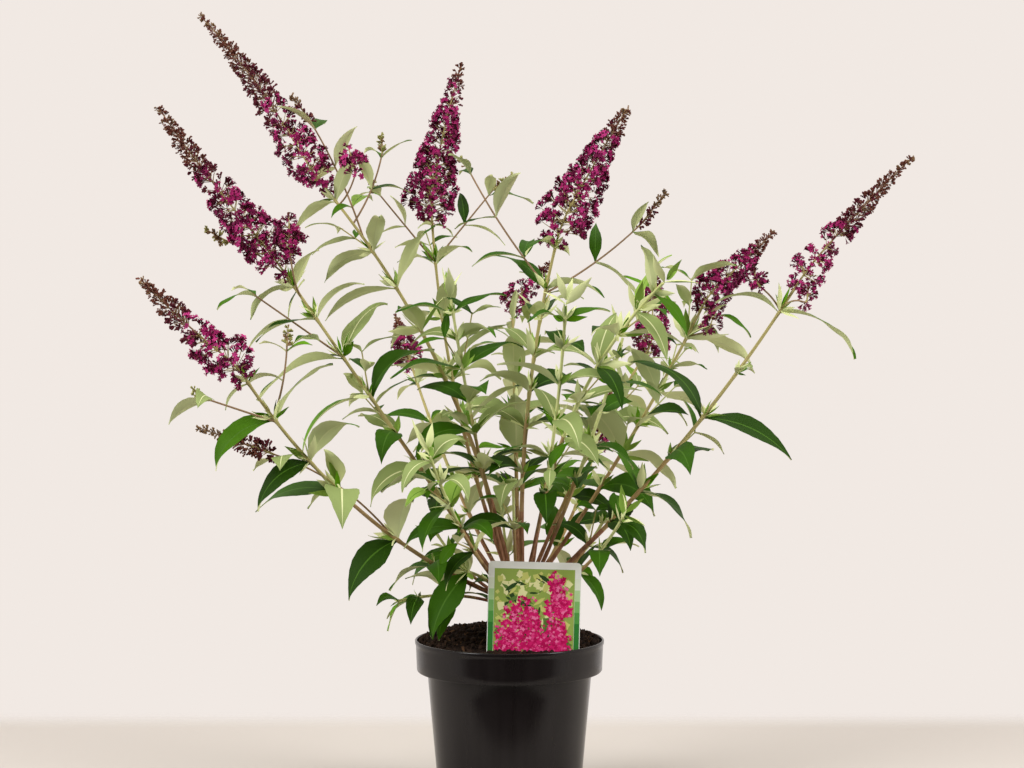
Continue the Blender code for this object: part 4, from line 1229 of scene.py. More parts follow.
@dataclass
class Studio:
    """The pale bench with a painted shadow round the pot, the pale surround with the dark room in front, the soft
    lights and the camera.
    """

    camera_place: tuple[float, float, float] = (0.0025, -1.65, 0.431)
    lens: float = 57.66
    floor_back: float = 0.505
    floor_front: float = -0.27
    floor_reach: float = 5.0
    fade: float = 0.11
    surround: tuple[float, float, float] = (0.88, 0.815, 0.77)
    room: tuple[float, float, float] = (0.035, 0.030, 0.028)
    room_edge: tuple[float, float] = (0.42, 0.68)
    floor_colour: tuple[int, int, int] = (202, 196, 189)
    # The painted shadow round the pot: where it starts and ends, by distance from the axis, and how dark it is at its
    # middle.
    floor_painted_shadow: tuple[float, float, float] = (0.09, 0.34, 0.80)

    def build(self) -> None:
        """Makes all of it."""
        self.build_floor()
        self.build_lights()
        self.build_camera()

    def build_floor(self) -> None:
        """A wide flat bench with a painted shadow round the pot, which fades into the surround behind the plant."""
        mesh = bpy.data.meshes.new("studio_floor")
        reach = self.floor_reach
        mesh.from_pydata([(-reach, self.floor_front, 0), (reach, self.floor_front, 0), (reach, self.floor_back, 0),
                          (-reach, self.floor_back, 0)], [], [(0, 1, 2, 3)])
        material = Finish("studio_floor", self.floor_colour, 0.8, 60, 0.0002, 0.05).make()
        # The bench's colour is darkened round the pot: a painted shadow.
        mesh.materials.append(self.faded(self.shaded(material)))
        floor = bpy.data.objects.new("studio_floor", mesh)
        bpy.context.scene.collection.objects.link(floor)

    def shaded(self, material: bpy.types.Material) -> bpy.types.Material:
        """Paints a shadow round the pot on the bench: makes a material darker towards the pot, by the distance from
        its axis.

        Args:
            material: The bench's material.

        Returns:
            The same material.
        """
        tree = material.node_tree
        near, far, dark = self.floor_painted_shadow
        place = tree.nodes.new("ShaderNodeTexCoord")
        distance = tree.nodes.new("ShaderNodeVectorMath")
        distance.operation = "LENGTH"
        share = tree.nodes.new("ShaderNodeMapRange")
        share.interpolation_type = "SMOOTHSTEP"
        for name, value in (("From Min", near), ("From Max", far), ("To Min", dark), ("To Max", 1.0)):
            share.inputs[name].default_value = value
        scale = tree.nodes.new("ShaderNodeVectorMath")
        scale.operation = "SCALE"
        base = next(node for node in tree.nodes if node.type == "BSDF_PRINCIPLED").inputs["Base Color"]
        if base.is_linked:
            tree.links.new(base.links[0].from_socket, scale.inputs[0])
        else:
            scale.inputs[0].default_value = base.default_value[:3]
        tree.links.new(place.outputs["Object"], distance.inputs[0])
        tree.links.new(distance.outputs["Value"], share.inputs["Value"])
        tree.links.new(share.outputs["Result"], scale.inputs["Scale"])
        tree.links.new(scale.outputs["Vector"], base)
        return material

    def faded(self, material: bpy.types.Material) -> bpy.types.Material:
        """Makes a material clear towards the bench's far edge.

        Args:
            material: The bench's material.

        Returns:
            The same material.
        """
        tree = material.node_tree
        place = tree.nodes.new("ShaderNodeTexCoord")
        parts = tree.nodes.new("ShaderNodeSeparateXYZ")
        share = tree.nodes.new("ShaderNodeMapRange")
        share.interpolation_type = "SMOOTHSTEP"
        share.inputs["From Min"].default_value = self.floor_back
        share.inputs["From Max"].default_value = self.floor_back - self.fade
        tree.links.new(place.outputs["Object"], parts.inputs[0])
        tree.links.new(parts.outputs["Y"], share.inputs["Value"])
        shader = next(node for node in tree.nodes if node.type == "BSDF_PRINCIPLED")
        tree.links.new(share.outputs["Result"], shader.inputs["Alpha"])
        return material

    def build_lights(self) -> None:
        """The surround and three soft area lights."""
        world = bpy.data.worlds.new("surround")
        bpy.context.scene.world = world
        world.use_nodes = True
        tree = world.node_tree
        back = tree.nodes["Background"]
        back.inputs["Strength"].default_value = 1.0
        place = tree.nodes.new("ShaderNodeTexCoord")
        ahead = tree.nodes.new("ShaderNodeVectorMath")
        ahead.operation = "DOT_PRODUCT"
        ahead.inputs[1].default_value = (0.0, -1.0, -0.15)
        share = tree.nodes.new("ShaderNodeMapRange")
        share.interpolation_type = "SMOOTHSTEP"
        share.inputs["From Min"].default_value, share.inputs["From Max"].default_value = self.room_edge
        seen = tree.nodes.new("ShaderNodeLightPath")
        unseen = tree.nodes.new("ShaderNodeMath")
        unseen.operation = "SUBTRACT"
        unseen.inputs[0].default_value = 1.0
        both = tree.nodes.new("ShaderNodeMath")
        both.operation = "MULTIPLY"
        mix = tree.nodes.new("ShaderNodeMix")
        mix.data_type = "RGBA"
        sockets = {socket.identifier: socket for socket in mix.inputs}
        sockets["A_Color"].default_value = (*self.surround, 1.0)
        sockets["B_Color"].default_value = (*self.room, 1.0)
        tree.links.new(place.outputs["Generated"], ahead.inputs[0])
        tree.links.new(ahead.outputs["Value"], share.inputs["Value"])
        tree.links.new(seen.outputs["Is Camera Ray"], unseen.inputs[1])
        tree.links.new(share.outputs["Result"], both.inputs[0])
        tree.links.new(unseen.outputs[0], both.inputs[1])
        tree.links.new(both.outputs[0], sockets["Factor_Float"])
        colour = next(socket for socket in mix.outputs if socket.identifier == "Result_Color")
        tree.links.new(colour, back.inputs["Color"])
        self.light("key", (-1.85, -1.5, 1.5), (0.0, 0.0, 0.40), (0.8, 1.7), 49.0)
        self.light("fill", (2.05, -1.25, 1.2), (0.0, 0.0, 0.30), (0.6, 1.7), 37.0)
        self.light("top", (0.2, 0.1, 2.4), (0.0, 0.0, 0.5), (1.4, 1.4), 14.0)

    def light(self, name: str, place: tuple[float, float, float], target: tuple[float, float, float],
              size: tuple[float, float], power: float) -> None:
        """One soft rectangular light.

        Args:
            name: Its name.
            place: Where it hangs.
            target: What it points at.
            size: Its width and height.
            power: Its power in watts.
        """
        lamp = bpy.data.lights.new(name, "AREA")
        lamp.shape = "RECTANGLE"
        lamp.size, lamp.size_y = size
        lamp.energy = power
        made = bpy.data.objects.new(name, lamp)
        made.location = place
        made.rotation_euler = (Vector(target) - Vector(place)).to_track_quat("-Z", "Y").to_euler()
        bpy.context.scene.collection.objects.link(made)

    def build_camera(self) -> None:
        """A level camera in front of the plant."""
        camera = bpy.data.cameras.new("camera")
        camera.lens = self.lens
        camera.sensor_width = 36.0
        made = bpy.data.objects.new("camera", camera)
        made.location = self.camera_place
        made.rotation_euler = (math.pi / 2, 0.0, 0.0)
        bpy.context.scene.collection.objects.link(made)
        bpy.context.scene.camera = made
        bpy.context.scene.view_settings.view_transform = "Standard"


@dataclass
class NurseryPot:
    """The round pot: a tapering wall, a collar with a rolled lip, and a floor with drain holes."""

    sides: int = 120
    lip: float = 0.0011
    steps: int = 5

    def profile(self) -> list[tuple[float, float]]:
        """Radius and height of each ring, from the underside's middle up the outside and down the inside.

        Returns:
            The profile.
        """
        step = POT_HEIGHT - POT_COLLAR_DEPTH
        foot = 0.0022
        out = [(POT_FOOT_RADIUS - 0.006, 0.0009), (POT_FOOT_RADIUS - 0.004, 0.0)]
        for i in range(self.steps + 1):
            a = math.pi / 2 * i / self.steps
            out.append((POT_FOOT_RADIUS - foot + foot * math.sin(a), foot - foot * math.cos(a)))
        for i in range(1, 9):
            share = i / 9
            out.append((POT_FOOT_RADIUS + (POT_STEP_RADIUS - POT_FOOT_RADIUS) * share, foot + (step - 0.004) * share))
        out += [(POT_STEP_RADIUS - 0.0001, step - 0.0024), (POT_STEP_RADIUS + 0.0004, step - 0.0010),
                (POT_RIM_RADIUS - 0.0040, step - 0.0003), (POT_RIM_RADIUS - 0.0026, step + 0.0002),
                (POT_RIM_RADIUS - 0.0019, step + 0.0012), (POT_RIM_RADIUS - 0.0016, step + 0.0100),
                (POT_RIM_RADIUS - 0.0010, POT_HEIGHT - 0.0080), (POT_RIM_RADIUS - 0.0008, POT_HEIGHT - 0.0046),
                (POT_RIM_RADIUS - 0.0001, POT_HEIGHT - 0.0036)]
        for i in range(self.steps + 1):
            a = math.pi * i / self.steps
            out.append((POT_RIM_RADIUS - self.lip + self.lip * math.cos(a), POT_HEIGHT - self.lip
                        + self.lip * math.sin(a)))
        inner = POT_RIM_RADIUS - 2 * self.lip
        out += [(inner, POT_HEIGHT - 0.006), (inner - 0.0006, step + 0.004), (POT_STEP_RADIUS - POT_WALL, step),
                (POT_FOOT_RADIUS - POT_WALL, POT_FLOOR + 0.001), (POT_FOOT_RADIUS - POT_WALL - 0.002, POT_FLOOR)]
        return out

    def build(self) -> None:
        """Makes the pot, cuts its drain holes, and puts it in place of the solid."""
        skin = Skin([Part.PLASTIC.value])
        rows = [circle(0.0, 0.0009, 1)] + [circle(r, z, self.sides) for r, z in self.profile()]
        rows.append(circle(0.0, POT_FLOOR, 1))
        skin.add(loft(rows), Part.PLASTIC.value)
        pot = skin.make("pot_moulded", 50)
        holes = Skin([Part.PLASTIC.value])
        for i in range(DRAIN_HOLES):
            middle = aim(360 * (i + 0.5) / DRAIN_HOLES, 0) * DRAIN_CIRCLE_RADIUS
            rows = [[middle + point for point in circle(DRAIN_HOLE_RADIUS, z, 24)] for z in (-0.004, 0.008)]
            holes.add(loft(rows), Part.PLASTIC.value)
        cutter = holes.make("drain_cutter")
        opening = pot.modifiers.new("drain", "BOOLEAN")
        opening.operation = "DIFFERENCE"
        opening.object = cutter
        opening.solver = "EXACT"
        graph = bpy.context.evaluated_depsgraph_get()
        cut = bpy.data.meshes.new_from_object(pot.evaluated_get(graph))
        pot.modifiers.clear()
        pot.data = cut
        bpy.data.objects.remove(cutter)
        settle(pot, ["pot"])


@dataclass
class Compost:
    """The mound of compost, with crumbs, lumps and a few bark chips."""

    sides: int = 96
    rings: int = 22
    crumbs: int = 2600
    chips: int = 130
    roughness: float = 0.0016

    def height(self, radius: float, angle: float) -> float:
        """The mound's height at a place.

        Args:
            radius: How far from the middle.
            angle: The turn about the middle, in radians.

        Returns:
            The height.
        """
        front = ((1 - math.sin(angle)) / 2) ** 2
        edge = POT_HEIGHT - SOIL_BACK_DROP - (SOIL_FRONT_DROP - SOIL_BACK_DROP) * front
        slope = SOIL_BACK_SLOPE + (SOIL_FRONT_SLOPE - SOIL_BACK_SLOPE) * front
        outer = self.edge_radius()
        share = max(0.0, min(1.0, (outer - radius) / (outer - SOIL_FLAT_RADIUS)))
        rise = edge + (SOIL_CROWN_HEIGHT - edge) * share ** slope
        spot = Vector((radius * math.cos(angle), radius * math.sin(angle), 0.0))
        bumps = noise.noise(spot * 60) + 0.6 * noise.noise(spot * 170) + 0.35 * noise.noise(spot * 420)
        away = (spot - Vector((CROWN_X, 0.0, 0.0))).length
        calm = min(1.0, max(0.0, (away - CROWN_FLARE_RADIUS) / 0.01))
        return rise + self.roughness * bumps * (0.25 + 0.75 * calm)

    @staticmethod
    def edge_radius() -> float:
        """The mound's radius where it meets the collar's inside."""
        return POT_RIM_RADIUS - 0.0022 - FIT_GAP - 0.0004

    def build(self, tree: SprayTree) -> None:
        """Makes the mound and its crumbs in place of the solid.

        Args:
            tree: The tree that deals out crumbs.
        """
        outer = self.edge_radius()
        step = POT_HEIGHT - POT_COLLAR_DEPTH
        inside = POT_FOOT_RADIUS - POT_WALL - FIT_GAP
        rows = [circle(0.0, POT_FLOOR + FIT_GAP, 1), circle(inside - 0.002, POT_FLOOR + FIT_GAP, self.sides),
                circle(inside, POT_FLOOR + 0.003, self.sides),
                circle(POT_STEP_RADIUS - POT_WALL - FIT_GAP, step, self.sides),
                circle(outer - 0.0006, step + 0.006, self.sides)]
        for k in range(self.rings):
            radius = outer * (1 - k / self.rings)
            row = circle(radius, 0.0, self.sides)
            for i, point in enumerate(row):
                point.z = self.height(radius, 2 * math.pi * i / self.sides)
            rows.append(row)
        rows.append(circle(0.0, self.height(0.0, 0.0), 1))
        skin = Skin([Part.SOIL.value])
        skin.add(loft(rows), Part.SOIL.value)
        mound = skin.make("compost_mound", 80)
        rng = random.Random(SEED)
        crumb = template("crumb", self.lump(rng), [False] * 20)
        chip = template("chip", self.sliver(), [False] * 6, False)
        crumbs = tree.grow(Spray(self.places(rng, self.crumbs, 0.0009, 0.0030), crumb, Part.CRUMB.value,
                                 Part.CRUMB.value, 0.35))
        chips = tree.grow(Spray(self.places(rng, self.chips, 0.0035, 0.0080), chip, Part.CHIP.value,
                                Part.CHIP.value, 0.3))
        settle(mound, ["compost"])
        settle(join("compost_crumbs", [crumbs, chips]), ["compost"])

    def places(self, rng: random.Random, count: int, least: float, most: float) -> list[tuple]:
        """Places on the mound.

        Args:
            rng: The dice.
            count: How many places.
            least: The least size.
            most: The greatest size.

        Returns:
            The places.
        """
        made = []
        while len(made) < count:
            radius = (self.edge_radius() - 0.002) * math.sqrt(rng.random())
            angle = rng.uniform(0, 2 * math.pi)
            size = least + (most - least) * rng.random() ** 2.5
            spot = Vector((radius * math.cos(angle), radius * math.sin(angle), 0.0))
            if (spot - Vector((CROWN_X, 0.0, 0.0))).length < CROWN_FLARE_RADIUS + size:
                continue
            if abs(spot.y + LABEL_FORWARD) < size + 0.0006 and abs(spot.x - LABEL_X) < LABEL_WIDTH / 2 + 0.001:
                continue
            if radius + size > self.edge_radius():
                continue
            spot.z = self.height(radius, angle) + size * 0.15
            made.append((spot, aim(rng.uniform(0, 360), rng.uniform(10, 90)), rng.uniform(0, 6.3), size))
        return made

    @staticmethod
    def lump(rng: random.Random) -> Shape:
        """An uneven lump about two units across."""
        bm = bmesh.new()
        bmesh.ops.create_icosphere(bm, subdivisions=1, radius=1.0)
        points = [v.co * rng.uniform(0.7, 1.15) for v in bm.verts]
        faces = [tuple(v.index for v in f.verts) for f in bm.faces]
        bm.free()
        return points, faces

    @staticmethod
    def sliver() -> Shape:
        """A thin splinter of bark, one unit long."""
        rows = [[Vector((x * w, y * w, z)) for x, y in ((-0.2, -0.06), (0.22, -0.05), (0.18, 0.07), (-0.17, 0.05))]
                for z, w in ((-0.5, 0.7), (0.5, 0.9))]
        return loft(rows)


@dataclass
class PictureLabel:
    """The card on its stake, with a plain printed picture: broad flower spikes over soft greenery."""

    side_band: float = 0.0060
    top_band: float = 0.0068
    print_height: float = 0.094
    blots: int = 190
    ink: float = 0.0000005
    greens: tuple[tuple[int, int, int], ...] = ((232, 230, 168), (204, 206, 116), (150, 172, 84), (96, 128, 60),
                                                (52, 78, 40))
    edges: tuple[tuple[int, int, int], ...] = ((222, 230, 206), (176, 208, 152), (126, 180, 104), (84, 152, 72),
                                               (52, 124, 54))
    pinks: tuple[tuple[int, int, int], ...] = ((214, 36, 108), (228, 70, 134), (184, 22, 84), (238, 120, 166),
                                               (204, 28, 98))
    spikes: tuple[tuple[float, float, float, float], ...] = ((0.027, 0.044, 100, 0.046), (-0.026, 0.006, 78, 0.060),
                                                             (0.008, 0.004, 104, 0.062), (0.026, 0.000, 96, 0.052))
    layer: int = 0

    def build(self) -> None:
        """Makes the card and its print in place of the solid."""
        inks = {colour: Finish("print_%d_%d_%d" % colour, colour, 0.35, 900, 0.0001, 0.05, 0.0, None, 60, 1.0, 0.2)
                for colour in dict.fromkeys(self.greens + self.edges + self.pinks)}
        skin = Skin([Part.CARD.value, *inks.values()])
        self.put(skin, label_outline(0.0, 6), -LABEL_THICKNESS / 2, LABEL_THICKNESS / 2, Part.CARD.value)
        rng = random.Random(SEED + 3)
        half = LABEL_WIDTH / 2 - self.side_band
        top = LABEL_TOP - self.top_band
        low = top - self.print_height + 0.004
        self.print_on(skin, [(-half, low), (half, low), (half, top), (-half, top)], inks[self.greens[2]])
        self.print_sides(skin, inks, half, top, low)
        for k in range(self.blots):
            radius = rng.uniform(0.0015, 0.0065)
            x, z = rng.uniform(radius - half, half - radius), rng.uniform(low + radius, top - radius)
            level = (top - z) / (top - low) * 2.2 + rng.uniform(-1.2, 1.8) + abs(x + 0.01) / half
            self.print_on(skin, self.blot(x, z, radius, 9, 0.7, rng), inks[self.greens[max(0, min(4, int(level)))]])
            if k % 2:
                x, z = rng.uniform(0.009 - half, half - 0.009), rng.uniform(low + 0.009, top - 0.009)
                leaf = self.leaf_print(x, z, rng.uniform(0, 6.3), rng.uniform(0.008, 0.018))
                self.print_on(skin, leaf, inks[rng.choice(self.greens)])
        for foot_x, foot_z, lean, size in self.spikes:
            self.spike_print(skin, rng, inks, (foot_x, low + foot_z), lean, size, half)
        settle(skin.make("label_card", 30), ["label"])

    def print_sides(self, skin: Skin, inks: dict, half: float, top: float, low: float) -> None:
        """Two green bands down the card's sides, pale above and dark below.

        Args:
            skin: The label's skin.
            inks: The print's finishes by colour.
            half: Half of the picture's width, where the bands start.
            top: The picture's top.
            low: The picture's foot.
        """
        edge = LABEL_WIDTH / 2 - 0.0007
        for side in (1, -1):
            for k in range(5):
                z = top - (top - low) * (0.10 + 0.12 * k)
                after = top - (top - low) * (0.10 + 0.12 * (k + 1) if k < 4 else 1.0)
                inner, outer = side * (half + 0.0002), side * edge
                self.print_on(skin, [(inner, after), (outer, after), (outer, z), (inner, z)], inks[self.edges[k]])

    def spike_print(self, skin: Skin, rng: random.Random, inks: dict, foot: tuple[float, float], lean: float,
                    size: float, half: float) -> None:
        """One printed flower spike: many little florets in a tapering cloud.

        Args:
            skin: The label's skin.
            rng: The dice.
            inks: The print's finishes by colour.
            foot: Where the spike starts.
            lean: The way that it points, in degrees.
            size: Its length.
            half: Half of the picture's width, which nothing passes.
        """
        turn = math.radians(lean)
        along, across = (math.cos(turn), math.sin(turn)), (-math.sin(turn), math.cos(turn))
        for k in range(int(size * 5600)):
            share = 1 - math.sqrt(rng.random())
            off = max(-1.3, min(1.3, rng.gauss(0, 0.55))) * 0.30 * size * (1 - share * 0.72)
            x = foot[0] + along[0] * share * size + across[0] * off
            z = foot[1] + along[1] * share * size + across[1] * off
            under = k < size * 1500
            radius = rng.uniform(0.0030, 0.0050) * (1.1 - 0.5 * share) if under else rng.uniform(0.0013, 0.0024)
            if abs(x) > half - radius or z > LABEL_TOP - self.top_band - radius:
                continue
            colour = self.pinks[(2, 4, 0)[k % 3]] if under else rng.choice(self.pinks)
            self.print_on(skin, self.blot(x, z, radius, 8, 0.55, rng), inks[colour])

    @staticmethod
    def blot(x: float, z: float, radius: float, points: int, waist: float,
             rng: random.Random) -> list[tuple[float, float]]:
        """A printed blot or floret: points that stand out by turns.

        Args:
            x: Across, to its middle.
            z: Up, to its middle.
            radius: How far its outer points reach.
            points: How many points it has.
            waist: How far its inner points reach, as a share of the radius.
            rng: The dice.

        Returns:
            The outline.
        """
        start = rng.uniform(0, 6.3)
        outline = []
        for i in range(points):
            a = start + 2 * math.pi * i / points
            reach = radius * (1.0 if i % 2 else waist)
            outline.append((x + reach * math.cos(a), z + reach * math.sin(a)))
        return outline

    @staticmethod
    def leaf_print(x: float, z: float, turn: float, size: float) -> list[tuple[float, float]]:
        """A printed leaf's outline.

        Args:
            x: Across, to its middle.
            z: Up, to its middle.
            turn: The way that it points, in radians.
            size: Its length.

        Returns:
            The outline.
        """
        shape = ((-0.5, 0.0), (-0.25, -0.11), (0.1, -0.12), (0.5, 0.0), (0.1, 0.12), (-0.25, 0.11))
        cos, sin = math.cos(turn), math.sin(turn)
        return [(x + size * (a * cos - b * sin), z + size * (a * sin + b * cos)) for a, b in shape]

    def print_on(self, skin: Skin, outline: list[tuple[float, float]], finish: Finish) -> None:
        """Lays one flat print on the card's front, a hair above the last."""
        self.layer += 1
        front = -LABEL_THICKNESS / 2
        self.put(skin, outline, front - 0.00002 - self.ink * self.layer, front + 0.0001, finish)

    @staticmethod
    def put(skin: Skin, outline: list[tuple[float, float]], front: float, back: float, finish: Finish) -> None:
        """Adds a thin plate with this outline to the label's skin.

        Args:
            skin: The label's skin.
            outline: The plate's corners, across and up.
            front: Its front's depth.
            back: Its back's depth.
            finish: Its finish.
        """
        place = label_place()
        rows = [[place @ Vector((x, y, z - LABEL_SHOULDER)) for x, z in outline] for y in (front, back)]
        skin.add(loft(rows), finish)


@dataclass
class Stems:
    """The woody crown, the boughs with their bark, and the stems and twigs above them."""

    growth: Growth
    bark_sides: int = 12
    stem_sides: int = 8
    twig_sides: int = 5
    step: float = 0.005
    tints: list[Finish] = field(default_factory=lambda: [Tint.WOOD.value, Tint.TAN.value, Tint.OLIVE.value,
                                                         Tint.PALE.value, Tint.PURPLE_STEM.value])

    def swell(self, cane: Cane, share: float, limb: Limb) -> float:
        """How much thicker a cane is at a place than its plain taper: at its foot and at its knots.

        Args:
            cane: The cane's sizes.
            share: Where on it.
            limb: Its line.

        Returns:
            The factor.
        """
        along = share * limb.length
        made = 1.0 + 0.5 * math.exp(-((along / 0.010) ** 2)) * (1 if cane.bare else 0)
        for knot, _, _ in cane.knots:
            made += 0.32 * math.exp(-(((knot - share) * limb.length / 0.0026) ** 2))
        return made

    def tint(self, cane: Cane, share: float, height: float) -> Finish:
        """The tint of a cane at a place: brown wood at the foot, then tan, then green towards its tip."""
        if cane.name in ("pale_shoot", "front_shoot", "right_shoot") and share > 0.45:
            return Tint.PALE.value
        level = 0.65 * share + 0.6 * (height - 0.2)
        if level < 0.20:
            return Tint.WOOD.value
        if level < 0.44:
            return Tint.TAN.value
        return Tint.OLIVE.value if cane.spike or share < 0.6 else Tint.PALE.value

    def tube(self, cane: Cane, first: float, last: float, sides: int, rough: float) -> tuple[Shape, list[Finish]]:
        """A stretch of a cane with its swellings and, where it is bark, ridges along it.

        Args:
            cane: The cane's sizes.
            first: The share where it starts.
            last: The share where it ends.
            sides: How many points its rings have.
            rough: How deep the ridges are, as a share of the radius.

        Returns:
            The skin, and a finish for each face.
        """
        limb = self.growth.canes[cane.name]
        steps = max(2, round((last - first) * limb.length / self.step))
        rows, finishes = [], []
        for i in range(steps + 1):
            share = first + (last - first) * i / steps
            centre, way, radius = limb.at(share)
            grown = radius * self.swell(cane, share, limb)
            radii = []
            for k in range(sides):
                a = 2 * math.pi * k / sides
                spot = Vector((math.cos(a) * 1.7, math.sin(a) * 1.7, share * limb.length * 60))
                radii.append(grown * (1 + rough * (noise.noise(spot) + 0.5 * (-1) ** k * 0.5)))
            rows.append(ring(centre, way, radii))
            if i < steps:
                finishes += [self.tint(cane, share, centre.z)] * sides
        return loft(rows), finishes + finishes[:1] + finishes[-1:]

    def build(self, masses: list[str], boughs: list[str]) -> None:
        """Makes the bark piece and the twig piece.

        Args:
            masses: The solids that the twigs stand for, with the leaves and flowers.
            boughs: The solids of the crown and the boughs.
        """
        bark = Skin([Part.BARK.value, Part.BARK_TAN.value])
        twigs = Skin(self.tints)
        bark.add(self.crown(), Part.BARK.value)
        for cane in CANES:
            limb = self.growth.canes[cane.name]
            start, way, radius = limb.at(0.0)
            if cane.bare:
                shape, finishes = self.tube(cane, 0.0, cane.bare, self.bark_sides, 0.16)
                coat = [Part.BARK.value if f is Tint.WOOD.value else Part.BARK_TAN.value for f in finishes]
                bark.add_mixed(shape, coat)
                inner = start - way * 0.006
                bark.add(loft([ring(inner, way, [radius * 1.9] * self.bark_sides),
                               ring(start + way * 0.001, way, [radius * 1.45] * self.bark_sides)]), Part.BARK.value)
            shape, finishes = self.tube(cane, cane.bare, 1.0, self.stem_sides, 0.05)
            twigs.add_mixed(shape, finishes)
        for twig, limb in self.growth.twigs:
            steps = max(3, round(limb.length / self.step))
            twigs.add(loft(limb.rows(0.0, 1.0, steps, self.twig_sides)), Tint.PURPLE_STEM.value)
        for shoot, cane in self.growth.shoots:
            finish = Tint.PALE.value if len(cane) % 2 else Tint.OLIVE.value
            twigs.add(loft(shoot.rows(-0.05, 1.0, 3, self.twig_sides)), finish)
        settle(bark.make("bark_crown_and_boughs", 50), boughs)
        settle(twigs.make("stems_and_twigs", 50), masses)

    def crown(self) -> Shape:
        """The woody crown with knobs, flutes and a ragged foot."""
        rows = []
        coarse = crown_rows(40)
        for a, b in zip(coarse[1:], coarse[2:-1]):
            for k in range(3):
                rows.append([p.lerp(q, k / 3) for p, q in zip(a, b)])
        rows.append(coarse[-2])
        middle = Vector((CROWN_X, 0.0, 0.0))
        for row in rows:
            for i, point in enumerate(row):
                out = Vector((point.x - middle.x, point.y, 0.0)).normalized()
                flute = 0.0006 * math.sin(6 * 2 * math.pi * i / len(row) + 40 * point.z)
                point += out * (flute + 0.0012 * noise.noise(point * 220) + 0.0006 * noise.noise(point * 600))
        base = SOIL_CROWN_HEIGHT - 0.003
        foot = [Vector((p.x, p.y, base)) for p in rows[0]]
        return loft([foot] + rows + [coarse[-1]])


